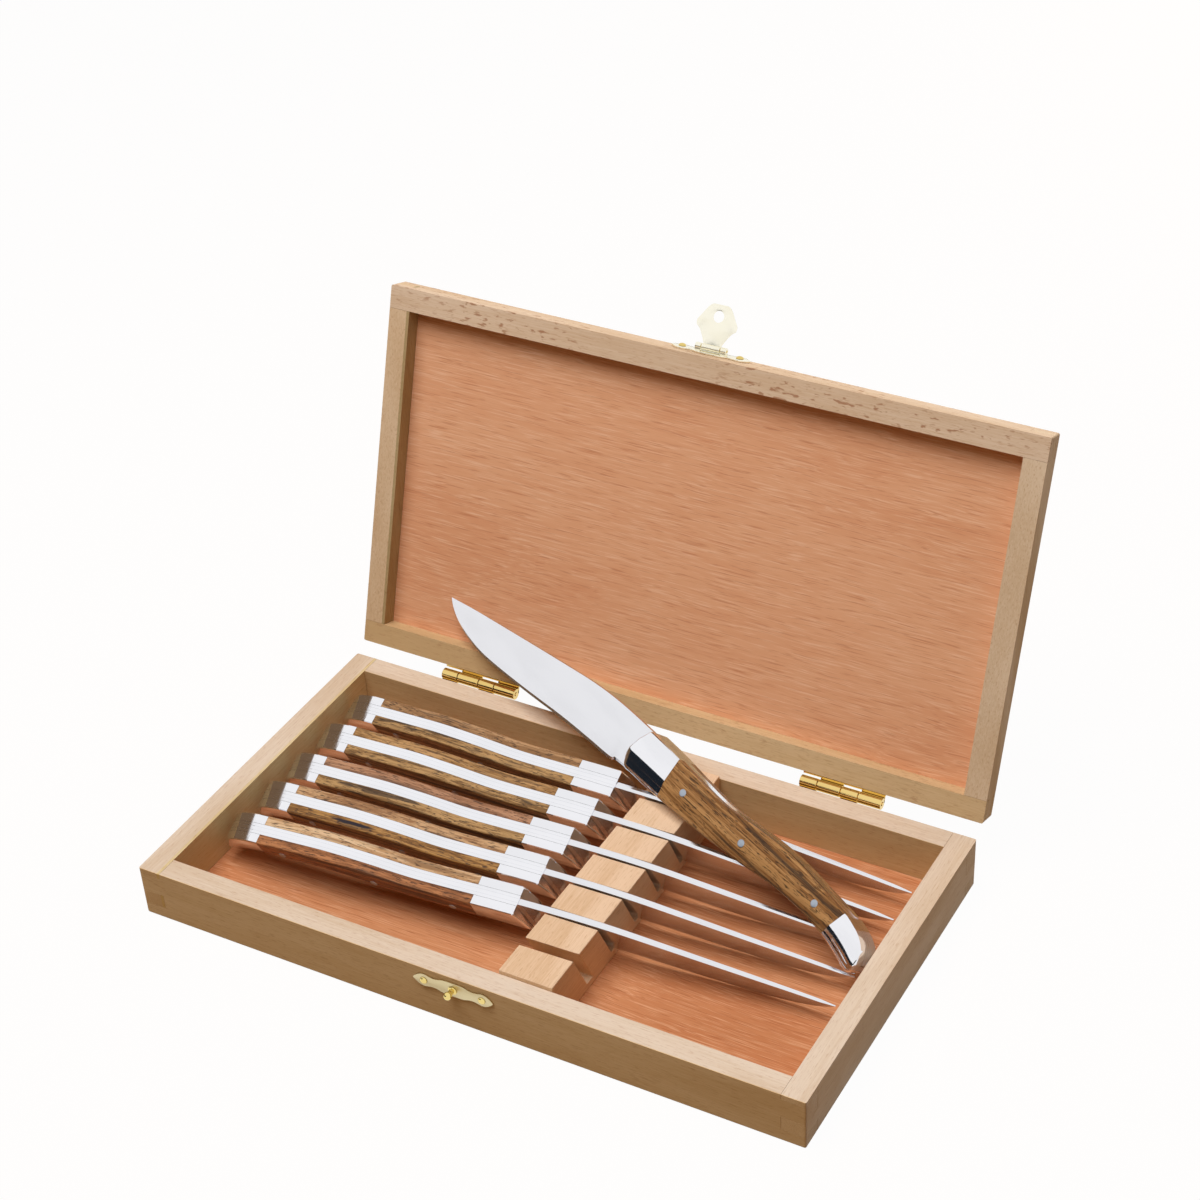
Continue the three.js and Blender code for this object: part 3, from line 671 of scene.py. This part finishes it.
def keep_behind(bm, place, outward):
    """Cuts a closed form with a plane, keeps what lies behind it and closes the cut."""
    cut = bmesh.ops.bisect_plane(bm, geom=bm.verts[:] + bm.edges[:] + bm.faces[:], dist=1e-8,
                                 plane_co=Vector(place) * MM, plane_no=outward, clear_outer=True)
    rim = [e for e in cut["geom_cut"] if isinstance(e, bmesh.types.BMEdge)]
    bmesh.ops.holes_fill(bm, edges=rim, sides=0)


def joined(forms, looks=None):
    """Several closed forms in one mesh, each with the look of its number."""
    whole = bmesh.new()
    for form, look in zip(forms, looks or [0] * len(forms)):
        for face in form.faces:
            face.material_index = look
        mesh = bpy.data.meshes.new("part")
        form.to_mesh(mesh)
        whole.from_mesh(mesh)
        bpy.data.meshes.remove(mesh)
        form.free()
    return whole


# The handle's section: the spine's eased edges in millimetres, and shares of its height and half width
BACK_EASE = 0.3
BACK_EASE_SHARE = 0.2
LEAN_FROM = 0.46
LEAN_TO = 0.17
LEAN_CORNERS = 4
BELLY_ROUND = 0.36
BELLY_CORNERS = 5
HANDLE_CORNERS = 2 * (5 + LEAN_CORNERS + BELLY_CORNERS)


def section_corners(low, high, half):
    """Corners round the handle from the middle of the spine: flat, then leaning in, then round."""
    tall = high - low
    soft = min(BACK_EASE, BACK_EASE_SHARE * tall)
    lean_from = low + LEAN_FROM * tall
    lean_to = low + LEAN_TO * tall
    right = [(half - soft, high), (half, high - soft), (half, (high + lean_from) / 2),
             (half, lean_from)]
    y = half
    for step in range(1, LEAN_CORNERS + 1):
        angle = radians(LEAN_START + (LEAN_END - LEAN_START) * (step - 0.5) / LEAN_CORNERS)
        y -= tan(angle) * (lean_from - lean_to) / LEAN_CORNERS
        right.append((y, lean_from + (lean_to - lean_from) * step / LEAN_CORNERS))
    inner = y - BELLY_ROUND * half
    for step in range(1, BELLY_CORNERS + 1):
        angle = radians(90) * step / BELLY_CORNERS
        right.append((inner + (y - inner) * cos(angle), low + (lean_to - low) * (1 - sin(angle))))
    left = [(-out, z) for out, z in reversed(right)]
    return [(0, high)] + right + [(0, low)] + left


# How the handle ends: where its front begins to slant, and how both ends are eased
FRONT_CLOSES_FROM = 104
SLANT_FROM = 112
FRONT_EASE = 1.4
FRONT_NARROWING = 0.12
BUTT_EASE = 0.8
BUTT_NARROWING = 0.06


def handle_stations():
    """Distances of the handle's rings from the butt: closest at both ends, one on the crease."""
    cap_rings, middle_rings, front_rings = 20, 36, 22
    middle_length = FRONT_CLOSES_FROM - BUTT_CREASE
    front_length = HANDLE - FRONT_CLOSES_FROM
    cap_end = [BUTT_CREASE * (step / cap_rings) ** 1.6 for step in range(cap_rings)]
    middle = [BUTT_CREASE + middle_length * step / middle_rings for step in range(middle_rings)]
    front = [FRONT_CLOSES_FROM + front_length * sin(pi / 2 * step / front_rings)
             for step in range(front_rings + 1)]
    return cap_end + middle + front


def handle_form(inset=0.0):
    """The handle's whole outer form, or one a little inside it."""
    bm = bmesh.new()
    stations = handle_stations()
    ringed_rod(bm, HANDLE_CORNERS, len(stations))
    crease = []
    for vert in bm.verts:
        ring, corner = ring_place(vert, HANDLE_CORNERS, len(stations))
        along = stations[ring]
        low = line_value(BELLY_LINE, along) + inset
        high = line_value(CAP_END_LINE if along < BUTT_CREASE else SPINE_LINE, along) - inset
        if low > high:
            low = high = (low + high) / 2
        y, z = section_corners(low, high, HALF_HANDLE)[corner]
        near_front = max(0, (along - SLANT_FROM) / (HANDLE - SLANT_FROM))
        x = along + (line_value(FRONT_LINE, z) - HANDLE) * near_front ** 2
        end_round = max(0, (along - HANDLE + FRONT_EASE) / FRONT_EASE)
        y *= 1 - FRONT_NARROWING * (1 - sqrt(max(0, 1 - end_round ** 2)))
        y *= 1 - BUTT_NARROWING * max(0, 1 - along / BUTT_EASE) ** 2
        vert.co = Vector((x, y, z)) * MM
        if along == BUTT_CREASE:
            crease.append(vert)
    crisp(bm, HANDLE_SHARP)
    for edge in bm.edges:
        if edge.verts[0] in crease and edge.verts[1] in crease:
            edge.smooth = False
    return bm


def cheek(side, region, cap_slant):
    """One side of the handle over the tang, between its cross cuts."""
    bm = handle_form()
    keep_behind(bm, (0, side * (TANG_HALF + LINE_GAP), 0), (0, -side, 0))
    bolster_from = HANDLE - BOLSTER
    across_cap = Vector((cos(radians(cap_slant)), 0, sin(radians(cap_slant))))
    if region == "cap":
        keep_behind(bm, (CAP_FROM_BUTT, 0, 0), across_cap)
    elif region == "bolster":
        keep_behind(bm, (bolster_from, 0, 0), (-1, 0, 0))
    else:
        keep_behind(bm, (CAP_FROM_BUTT + LINE_GAP, 0, 0), -across_cap)
        keep_behind(bm, (bolster_from - LINE_GAP, 0, 0), (1, 0, 0))
    return crisp(bm, HANDLE_SHARP)


def tang_form():
    """The spring between two liners, with a fine line on each side of it."""
    spring_line, core_inset = 0.09, 0.14
    liner_from = SPRING_HALF + spring_line
    core_half = TANG_HALF - 0.3
    layers = [(-SPRING_HALF, SPRING_HALF, 0), (liner_from, TANG_HALF, 0),
              (-TANG_HALF, -liner_from, 0), (-core_half, core_half, core_inset)]
    forms = []
    for low, high, inset in layers:
        bm = handle_form(inset)
        keep_behind(bm, (0, high, 0), (0, 1, 0))
        keep_behind(bm, (0, low, 0), (0, -1, 0))
        forms.append(crisp(bm, HANDLE_SHARP))
    return joined(forms)


# The blade's section. Its levels are shares of its height, from the edge up to the back.
BLADE_CORNERS = 14
BLADE_LEVELS = [0.0, 0.055, 0.22, 0.45, 0.68, 0.9, 0.985, 1.0]
BACK_HALF = 1.1
TIP_THINNING = 0.6
EDGE_HALF = 0.34
EDGE_SHARE = 0.34

# How the blade runs: where its rings go, how the grind fades in, and how the point closes
BLADE_START = 119.0
HEEL_RINGS = [
    BLADE_START, 122, 125, 127.5, 129, GRIND_FROM, 130.5, 131.0, 131.5, 131.85, 132.2, 133.4, 135,
]
BODY_RINGS = 60
POINT_SHORT = 0.15
POINT_REACH = 9
POINT_SHARE = 0.4
GRIND_RUN = 3.4
GRIND_SLANT_REACH = 8
TIP_HEIGHT = 5


def blade_stations():
    """Distances of the blade's rings from the butt, close at the heel and towards the tip."""
    end = HANDLE + BLADE - POINT_SHORT
    length = end - HEEL_RINGS[-1]
    body = [end - length * (1 - step / BODY_RINGS) ** 1.5 for step in range(1, BODY_RINGS + 1)]
    return HEEL_RINGS + body


def blade_form():
    """The blade: a small cutting bevel, a flat-ground body behind a grind line, a square back."""
    bm = bmesh.new()
    stations = blade_stations()
    ringed_rod(bm, BLADE_CORNERS, len(stations))
    back_corner = BLADE_CORNERS // 2
    for vert in bm.verts:
        ring, corner = ring_place(vert, BLADE_CORNERS, len(stations))
        along = stations[ring]
        low = line_value(EDGE_LINE, along)
        high = line_value(BACK_LINE, along)
        level = min(corner, BLADE_CORNERS - corner)
        side = 1 if corner <= back_corner else -1
        up = BLADE_LEVELS[level]
        z = low + (high - low) * up
        taper = BACK_HALF - TIP_THINNING * max(0, (along - HANDLE) / BLADE) ** 2
        taper *= min(1, POINT_SHARE + (HANDLE + BLADE - along) / POINT_REACH)
        ground = min(1, max(0, (along - GRIND_FROM) / GRIND_RUN))
        near_grind = max(0, 1 - abs(along - GRIND_FROM) / GRIND_SLANT_REACH)
        near_tip = max(0, 1 - (high - low) / TIP_HEIGHT)
        share = EDGE_SHARE + (1 - EDGE_SHARE) * min(1, up / BLADE_LEVELS[-2])
        flat = taper * (share + (1 - share) * near_tip)
        half = taper + (flat - taper) * ground
        if level in (0, back_corner):
            half = 0
        elif level == 1:
            half = taper + (EDGE_HALF - taper) * ground * (1 - near_tip)
        x = along + (line_value(GRIND_LINE, z) - GRIND_FROM) * near_grind
        vert.co = Vector((x, side * half, z)) * MM
    bmesh.ops.remove_doubles(bm, verts=bm.verts, dist=1e-7)
    return crisp(bm, degrees=11)


def rivet_form(place):
    """A rivet through the handle, with domed ends a little proud of the wood."""
    bm = bmesh.new()
    along, up = place
    length = 2 * (HALF_HANDLE + RIVET_PROUD)
    add_rod(bm, 32, RIVET_RADIUS * MM, length * MM, move_by(along, 0, up) @ QUARTER_ABOUT_X)
    eased(bm, [e for e in bm.edges if lies_across(e, 1)], width=0.28, segments=4)
    return crisp(bm, HANDLE_SHARP)


def box_form(low, high):
    bm = bmesh.new()
    size = [b - a for a, b in zip(low, high)]
    middle = [(a + b) / 2 for a, b in zip(low, high)]
    place = move_by(*middle) @ Matrix.Diagonal(Vector(size) * MM).to_4x4()
    bmesh.ops.create_cube(bm, size=1, matrix=place)
    return crisp(bm, degrees=50)


def barrel_form(radius, from_x, to_x, ease, y=0.0):
    """A round rod along X with eased ends."""
    bm = bmesh.new()
    middle = move_by((from_x + to_x) / 2, y, 0)
    add_rod(bm, 40, radius * MM, (to_x - from_x) * MM, middle @ QUARTER_ABOUT_Y)
    eased(bm, [e for e in bm.edges if lies_across(e, 0)], width=ease, segments=3)
    return crisp(bm, degrees=14)


def turned_form(points):
    """A turned piece that stands on the face y = 0, towards -Y, from (radius, out) points."""
    bm = bmesh.new()
    line = [bm.verts.new(Vector((radius, -out, 0)) * MM) for radius, out in points]
    edges = [bm.edges.new(pair) for pair in zip(line, line[1:])]
    bmesh.ops.spin(bm, geom=line + edges, cent=(0, 0, 0), axis=(0, 1, 0), dvec=(0, 0, 0),
                   angle=radians(360), steps=32, use_merge=True)
    bmesh.ops.remove_doubles(bm, verts=bm.verts, dist=1e-7)
    return crisp(bm, degrees=35)


def sheet_form(half_line, thickness, hole=None, hole_radius=0.0):
    """A sheet in X and Z whose half height follows a line along X, with eased rims."""
    bm = bmesh.new()
    segments = 72
    from_x, to_x = half_line[0][0], half_line[-1][0]
    bmesh.ops.create_circle(bm, cap_ends=hole is None, segments=segments, radius=1,
                            matrix=QUARTER_ABOUT_X)
    for vert in bm.verts:
        x = from_x + (to_x - from_x) * (1 + vert.co.x) / 2
        side = 1 if vert.co.z > 1e-6 else -1 if vert.co.z < -1e-6 else 0
        vert.co = Vector((x, 0, side * line_value(half_line, x))) * MM
    if hole is not None:
        bmesh.ops.create_circle(bm, cap_ends=False, segments=segments, radius=hole_radius * MM,
                                matrix=move_by(hole, 0, 0) @ QUARTER_ABOUT_X)
        bmesh.ops.bridge_loops(bm, edges=bm.edges[:])
    grown = bmesh.ops.extrude_face_region(bm, geom=bm.faces[:])
    lifted = [v for v in grown["geom"] if isinstance(v, bmesh.types.BMVert)]
    bmesh.ops.translate(bm, verts=lifted, vec=(0, -thickness * MM, 0))
    bmesh.ops.recalc_face_normals(bm, faces=bm.faces)
    rims = [e for e in bm.edges
            if e.is_manifold and e.calc_face_angle() > radians(70) and lies_across(e, 1)]
    eased(bm, rims, width=0.1, segments=2)
    return crisp(bm, degrees=35)


# Half heights of the catch's sheets along X, from end to end
PLATE_HALF_LINE = [
    (0, 2.9), (2.6, 2.9), (4.4, 2.75), (6.2, 2.1), (8.2, 1.95), (9.6, 2.25), (11.4, 2.65),
    (13.2, 2.2), (14.6, 1.2), (15.6, 0.25),
]
PLATE_LINE = [(-x, z) for x, z in reversed(PLATE_HALF_LINE[1:])] + PLATE_HALF_LINE
FLAP_LINE = [
    (0, 3.6), (1.5, 3.6), (6.2, 6.3), (7.0, 7.5), (8.4, 7.9), (9.4, 7.7), (10.4, 7.0), (13.6, 5.0),
    (14.6, 4.2), (15.3, 3.4), (FLAP_LENGTH, 2.6),
]


def plate_form():
    bm = sheet_form(PLATE_LINE, PLATE_THICKNESS)
    bmesh.ops.translate(bm, verts=bm.verts, vec=(0, -PLATE_SEAT * MM, 0))
    return bm


def nail_form():
    """A nail with a domed head on the catch's plate."""
    shank, head, dome = 0.5, 1.4, 0.8
    quarter = [pi / 2 * step / 6 for step in range(6)]
    domed = [(head * cos(angle), ON_PLATE + dome * sin(angle)) for angle in quarter]
    return turned_form([(0, -NAIL_IN_WOOD), (shank, -NAIL_IN_WOOD), (shank, ON_PLATE)] + domed
                       + [(0, ON_PLATE + dome)])


def knob_form():
    """The knob: a collar, a neck and a ball that holds the flap."""
    neck, collar, ball, flap_gap = 1, 1.7, 1.5, 0.3
    collar_profile = [(collar, ON_PLATE), (collar, ON_PLATE + 0.25), (1.55, ON_PLATE + 0.4)]
    lowest = -radians(48.2)
    over_flap = FLAP_PIVOT_OUT + FLAP_THICKNESS / 2 + flap_gap
    centre = over_flap - ball * sin(lowest)
    angles = [lowest + (pi / 2 - lowest) * step / 12 for step in range(12)]
    head = [(ball * cos(angle), centre + ball * sin(angle)) for angle in angles]
    return turned_form([(0, -NAIL_IN_WOOD), (neck, -NAIL_IN_WOOD), (neck, ON_PLATE)] + collar_profile
                       + [(neck, ON_PLATE + 0.5)] + head + [(0, centre + ball)])


# The hinge leaves: gaps round the knuckles, and the plate between them
KNUCKLE_GAP = 0.15
KNUCKLE_EASE = 0.18
NOTCH_GAP = 0.3
PLATE_GAP = 0.4
PLATE_INSET = 0.02


def leaf_form(centre, on_lid):
    """A hinge leaf with its rolled knuckles and its notches, drawn round the pivot line."""
    half = TRAY_KNUCKLE + LID_KNUCKLE
    low = BARREL_RADIUS - LEAF_THICKNESS if on_lid else -BARREL_RADIUS
    back = -PIVOT_BEHIND - LEAF_IN_WOOD
    forms = []
    start = centre - half
    for lid_has_it in (False, True, False, True):
        end = start + (LID_KNUCKLE if lid_has_it else TRAY_KNUCKLE)
        if lid_has_it == on_lid:
            trim, reach = KNUCKLE_GAP, 0
            forms.append(barrel_form(BARREL_RADIUS, start + trim, end - trim, KNUCKLE_EASE))
        else:
            trim, reach = 0, -BARREL_RADIUS - NOTCH_GAP
        forms.append(box_form((start + trim, back, low), (end - trim, reach, low + LEAF_THICKNESS)))
        start = end
    top = low + LEAF_THICKNESS - PLATE_INSET
    forms.append(box_form((centre - half, back, low + PLATE_INSET),
                          (centre + half, -BARREL_RADIUS - PLATE_GAP, top)))
    return joined(forms)


def flap_form():
    """The catch flap, hanging down from its pivot line."""
    sheet = sheet_form(FLAP_LINE, FLAP_THICKNESS, FLAP_HOLE, FLAP_HOLE_RADIUS)
    bmesh.ops.translate(sheet, verts=sheet.verts, vec=(0, FLAP_THICKNESS / 2 * MM, 0))
    sheet.transform(QUARTER_ABOUT_Y)
    return joined([sheet, barrel_form(LOOP_RADIUS, -FLAP_BARREL_HALF, FLAP_BARREL_HALF, LOOP_EASE)])


def lid_plate_form():
    """The lid's catch plate with the two loops that hold the flap's pin."""
    web_inset, web_half, web_from = 0.1, 1.1, -0.6
    forms = [plate_form()]
    for side in (-1, 1):
        near, far = sorted((side * LOOP_FROM, side * LOOP_TO))
        forms.append(barrel_form(LOOP_RADIUS, near, far, LOOP_EASE, -FLAP_PIVOT_OUT))
        forms.append(box_form((near + web_inset, -FLAP_PIVOT_OUT, -web_half),
                              (far - web_inset, web_from, web_half)))
    return joined(forms)


# Pieces

def finish_piece(name, bm, body, materials, nodes):
    piece = mesh_object(name, bm, materials)
    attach(piece, body)
    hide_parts(*nodes)


def knife(name, place, steels, woods, loose_rivets):
    """All pieces of one knife, moved to its place. Only the laid knife's rivets are pieces too."""
    blade_look, bolster_look, rivet_look = steels
    left_look, right_look = woods
    slant = LAID_CAP_SLANT if loose_rivets else STORED_CAP_SLANT
    blade = [blade_form(), tang_form()]
    if not loose_rivets:
        blade += [rivet_form(spot) for spot in RIVETS]
    bolster = joined([cheek(side, "bolster", slant) for side in (1, -1)])
    cap = joined([cheek(side, "cap", slant) for side in (1, -1)])
    forms = {
        "blade": (joined(blade, [0, 1, 2, 2, 2]), "steel", [blade_look, bolster_look, rivet_look]),
        "bolster": (bolster, "steel", [bolster_look]),
        "butt_cap": (cap, "steel", [bolster_look]),
        "scale_left": (cheek(1, "scale", slant), "handle_wood", [left_look]),
        "scale_right": (cheek(-1, "scale", slant), "handle_wood", [right_look]),
    }
    if loose_rivets:
        for index, spot in enumerate(RIVETS):
            forms[f"rivet_{index + 1}"] = (rivet_form(spot), "steel", [rivet_look])
    for part, (bm, slot, looks) in forms.items():
        bm.transform(place)
        node = f"{name}_{part}"
        finish_piece(f"{node}_fine", bm, name, looks, [node])


def fitting(node, bm, place, body, look):
    """A brass piece, in the place of the part's own."""
    bm.transform(place)
    finish_piece(f"{node}_fine", bm, body, [look], [node])


def softened(node, material, width):
    """A piece of wood from the part with its edges eased, as sanded."""
    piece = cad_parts[node]
    piece.data.materials.clear()
    piece.data.materials.append(material)
    weld = piece.modifiers.new("weld", "WELD")
    weld.merge_threshold = 0.00001
    bevel = piece.modifiers.new("ease", "BEVEL")
    bevel.width = width * MM
    bevel.segments = 2
    bevel.limit_method = "ANGLE"
    bevel.angle_limit = radians(40)
    bevel.harden_normals = False


# Stage, in metres

photo_camera()
white_room(fill_colour=(1, 0.62, 0.26, 1), fill_strength=0.11)
pale_floor(colour=(0.24, 0.13, 0.05, 1), glow_share=0.9)
upright_card("dark_side", start=(-0.36, -0.04), end=(-0.19, -0.32), low=0, high=0.12,
             colour=(0.012, 0.016, 0.022, 1))
upright_card("brown_side", start=(-0.165, -0.064), end=(-0.165, 0.11), low=0, high=0.06,
             colour=(0.17, 0.105, 0.06, 1))
upright_card("dark_front", start=(-0.40, -0.5), end=(-0.13, -0.5), low=0.1, high=0.37,
             colour=(0.010, 0.010, 0.008, 1))
soft_box("overhead", place=(-0.16, -0.27, 1.14), aim=(0, 0, 0), size=(0.9, 0.75), power=14.4,
         colour=(0.97, 1.0, 1.14))
soft_box("behind", place=(0.25, 0.85, 0.28), aim=(0, 0.1, 0.08), size=(0.8, 0.5), power=3.6,
         colour=(1.0, 0.96, 0.92))

# How the grain is turned: along the length or the depth of the case, up the lid, or with the lid
ALONG_X = (0, 0, 0)
ALONG_Y = (0, 0, radians(90))
UP_THE_LID = (0, radians(-90), 0)
WITH_LID = (radians(90 - LID_ANGLE), 0, 0)

# Beech: each rail's grain, the start of its pattern and how strong its brown spots are
PALE = linear(228, 207, 178)
WARM = linear(214, 188, 154)
DASH = linear(176, 128, 88)
SPOT = linear(160, 108, 72)
BEECH_PIECES = {
    "tray_front_rail": (ALONG_X, (0.01, 0.3, 0.2), 0.15),
    "tray_back_rail": (ALONG_X, (0.31, 0.1, 0.05), 0.1),
    "tray_left_rail": (ALONG_Y, (0.11, 0.2, 0.4), 0.15),
    "tray_right_rail": (ALONG_Y, (0.41, 0.5, 0.1), 0.1),
    "lid_front_rail": (ALONG_X, (0.30, 0.7, 0.3), 0.75),
    "lid_back_rail": (ALONG_X, (0.51, 0.9, 0.6), 0.3),
    "lid_left_stile": (UP_THE_LID, (0.61, 0.2, 0.9), 0.2),
    "lid_right_stile": (UP_THE_LID, (0.71, 0.4, 0.2), 0.1),
}

# Painted shade on faces: the axis, how far along it in millimetres, towards which end, and the tint. It
# darkens and warms the tray's inner and front faces and the left stile's inner face; for the lid's
# pieces z above 0 takes in the whole piece, which it darkens all over.
JUST_IN_FRONT = -70.3
PAINTED_SHADE_FACES = {
    "tray_back_rail": [("Y", 61.9, -1, (0.78, 0.67, 0.44, 1))],
    "tray_left_rail": [("X", -122.3, 1, (1.0, 0.98, 0.72, 1)),
                       ("Y", JUST_IN_FRONT, -1, (1.0, 0.86, 0.58, 1))],
    "tray_right_rail": [("Y", JUST_IN_FRONT, -1, (1.0, 0.86, 0.58, 1))],
    "tray_front_rail": [("Y", JUST_IN_FRONT, -1, (1.0, 0.86, 0.57, 1))],
    "lid_left_stile": [("X", -122.6, 1, (0.62, 0.62, 0.50, 1)), ("Z", 0, 1, (0.95, 0.85, 0.70, 1))],
    "lid_right_stile": [("Z", 0, 1, (0.97, 0.91, 0.80, 1))],
    "lid_back_rail": [("Z", 0, 1, (0.88, 0.77, 0.55, 1))],
    "lid_front_rail": [("Z", 0, 1, (0.98, 0.91, 0.83, 1))],
}
for node, (turn, shift, spots) in BEECH_PIECES.items():
    look = beech(f"beech_{node}", turn, shift, PALE, WARM, DASH, SPOT, spot_amount=spots,
                 shade_tints=PAINTED_SHADE_FACES.get(node, []))
    softened(node, look, 0.25)
block_look = beech("beech_knife_block", ALONG_Y, (0.3, 0.6, 0.8), linear(236, 202, 162),
                   linear(220, 182, 138), linear(190, 142, 94), SPOT, dash_amount=0.45)
softened("knife_block", block_look, 0.3)

# Veneered panels. The tray's veneer is darker than the lid's, as painted shade on the tray floor, and
# the lid's is lighter, as painted light on the lid panel.
tray_veneer = veneer("veneer_tray", ALONG_X, (0.2, 0.3, 0.1), base=linear(208, 142, 94),
                     figure=linear(194, 124, 78), light=linear(230, 174, 128), dark=linear(168, 98, 58))
lid_veneer = veneer("veneer_lid", WITH_LID, (0.5, 0.6, 0.7), base=linear(232, 172, 126),
                    figure=linear(224, 158, 112), light=linear(246, 200, 158), dark=linear(202, 132, 88))
softened("tray_bottom_panel", tray_veneer, 0.1)
softened("lid_panel", lid_veneer, 0.1)

# Knives. Each wood has its light and brown stripes, its dark streaks and how strong those are.
WOODS = {
    "honey": (linear(222, 186, 140), linear(184, 140, 94), linear(66, 46, 32), 0.4),
    "rust": (linear(184, 122, 74), linear(138, 88, 52), linear(44, 26, 20), 0.7),
    "tan": (linear(202, 160, 112), linear(150, 108, 70), linear(56, 38, 30), 0.6),
    "blackened": (linear(180, 134, 74), linear(120, 82, 42), linear(32, 22, 28), 1.0),
    "reddish": (linear(186, 138, 100), linear(148, 104, 72), linear(60, 40, 30), 0.5),
    "tawny": (linear(186, 144, 98), linear(140, 102, 64), linear(50, 36, 28), 0.6),
    "walnut": (linear(184, 144, 90), linear(126, 92, 52), linear(44, 30, 22), 0.8),
    "amber": (linear(192, 148, 94), linear(146, 106, 60), linear(60, 38, 26), 0.5),
    "golden": (linear(186, 138, 82), linear(128, 84, 42), linear(48, 32, 20), 0.8),
}

# Each knife's left and right scale: the wood, and where its pattern starts
SCALES = {
    "knife_1": (("honey", (0.3, 0, 0)), ("rust", (0.5, 0.1, 0))),
    "knife_2": (("tan", (0.7, 0, 0.1)), ("blackened", (0.9, 0.2, 0))),
    "knife_3": (("reddish", (1.1, 0, 0.2)), ("walnut", (1.3, 0.3, 0))),
    "knife_4": (("amber", (1.5, 0, 0.3)), ("walnut", (1.7, 0.4, 0))),
    "knife_5": (("tawny", (1.9, 0, 0.4)), ("walnut", (2.1, 0.5, 0))),
    "display_knife": (("golden", (2.3, 0, 0.5)), ("golden", (2.5, 0.6, 0))),
}

# Metals: the colour, the colour of the smears, the roughness and how strong the polishing lines are
STEELS = {
    "blade": ((0.80, 0.80, 0.83, 1), (0.78, 0.78, 0.81, 1), 0.15, 0.1),
    "bolster": ((0.86, 0.86, 0.89, 1), (0.82, 0.82, 0.85, 1), 0.07, 0.05),
    # The rivets' darker, bluer steel is painted reflection: it stands for the dark surround that their
    # domes mirror.
    "rivet": ((0.42, 0.46, 0.52, 1), (0.36, 0.40, 0.46, 1), 0.3, 0),
}
BRASSES = {
    "hinge": (linear(236, 206, 134), linear(226, 192, 116), 0.08, 0),
    "nail": (linear(236, 212, 136), linear(222, 194, 114), 0.08, 0),
    "flap": ((0.96, 0.92, 0.78, 1), (0.92, 0.87, 0.70, 1), 0.22, 0.1),
    "plate": (linear(216, 200, 158), linear(190, 170, 128), 0.34, 0.1),
}

knife_places = {name: stored_place(**where) for name, where in KNIFE_PLACES.items()}
knife_places["display_knife"] = laid_place()
for name, place in knife_places.items():
    steels = [polished(f"{kind}_steel_{name}", place, *finish) for kind, finish in STEELS.items()]
    woods = [scale_wood(f"{wood}_{name}_{side}", place, shift, *WOODS[wood])
             for side, (wood, shift) in zip(("left", "right"), SCALES[name])]
    knife(name, place, steels, woods, loose_rivets=name == "display_knife")

# Hinges and catch
brass = {kind: polished(f"{kind}_brass", Matrix.Identity(4), *finish)
         for kind, finish in BRASSES.items()}
for side, centre in HINGE_CENTRES.items():
    half, pin_proud = TRAY_KNUCKLE + LID_KNUCKLE, 0.1
    leaf = f"hinge_{side}"
    fitting(f"{leaf}_tray_leaf", leaf_form(centre, False), tray_hinge_place(), "tray", brass["hinge"])
    fitting(f"{leaf}_lid_leaf", leaf_form(centre, True), lid_hinge_place(), "lid", brass["hinge"])
    pin = barrel_form(PIN_RADIUS, centre - half - pin_proud, centre + half + pin_proud, ease=0.1)
    fitting(f"{leaf}_pin", pin, tray_hinge_place(), "tray", brass["hinge"])

tray_catch = on_front(TRAY_PLATE_HEIGHT)
lid_catch = lid_place() @ on_front(LID_PLATE_HEIGHT)
fitting("catch_tray_plate", plate_form(), tray_catch, "tray", brass["plate"])
fitting("catch_knob", knob_form(), tray_catch, "tray", brass["nail"])
fitting("catch_lid_plate", lid_plate_form(), lid_catch, "lid", brass["flap"])
flap_pin = barrel_form(FLAP_PIN_RADIUS, -FLAP_PIN_HALF, FLAP_PIN_HALF, FLAP_PIN_EASE, -FLAP_PIVOT_OUT)
fitting("catch_flap_pin", flap_pin, lid_catch, "lid", brass["nail"])
fitting("catch_flap", flap_form(), flap_place(), "catch_flap", brass["flap"])
for side, x in (("left", -NAIL_X), ("right", NAIL_X)):
    tray_nail = on_front(TRAY_PLATE_HEIGHT, x)
    lid_nail = lid_place() @ on_front(LID_PLATE_HEIGHT, x)
    fitting(f"catch_tray_nail_{side}", nail_form(), tray_nail, "tray", brass["nail"])
    fitting(f"catch_lid_nail_{side}", nail_form(), lid_nail, "lid", brass["nail"])
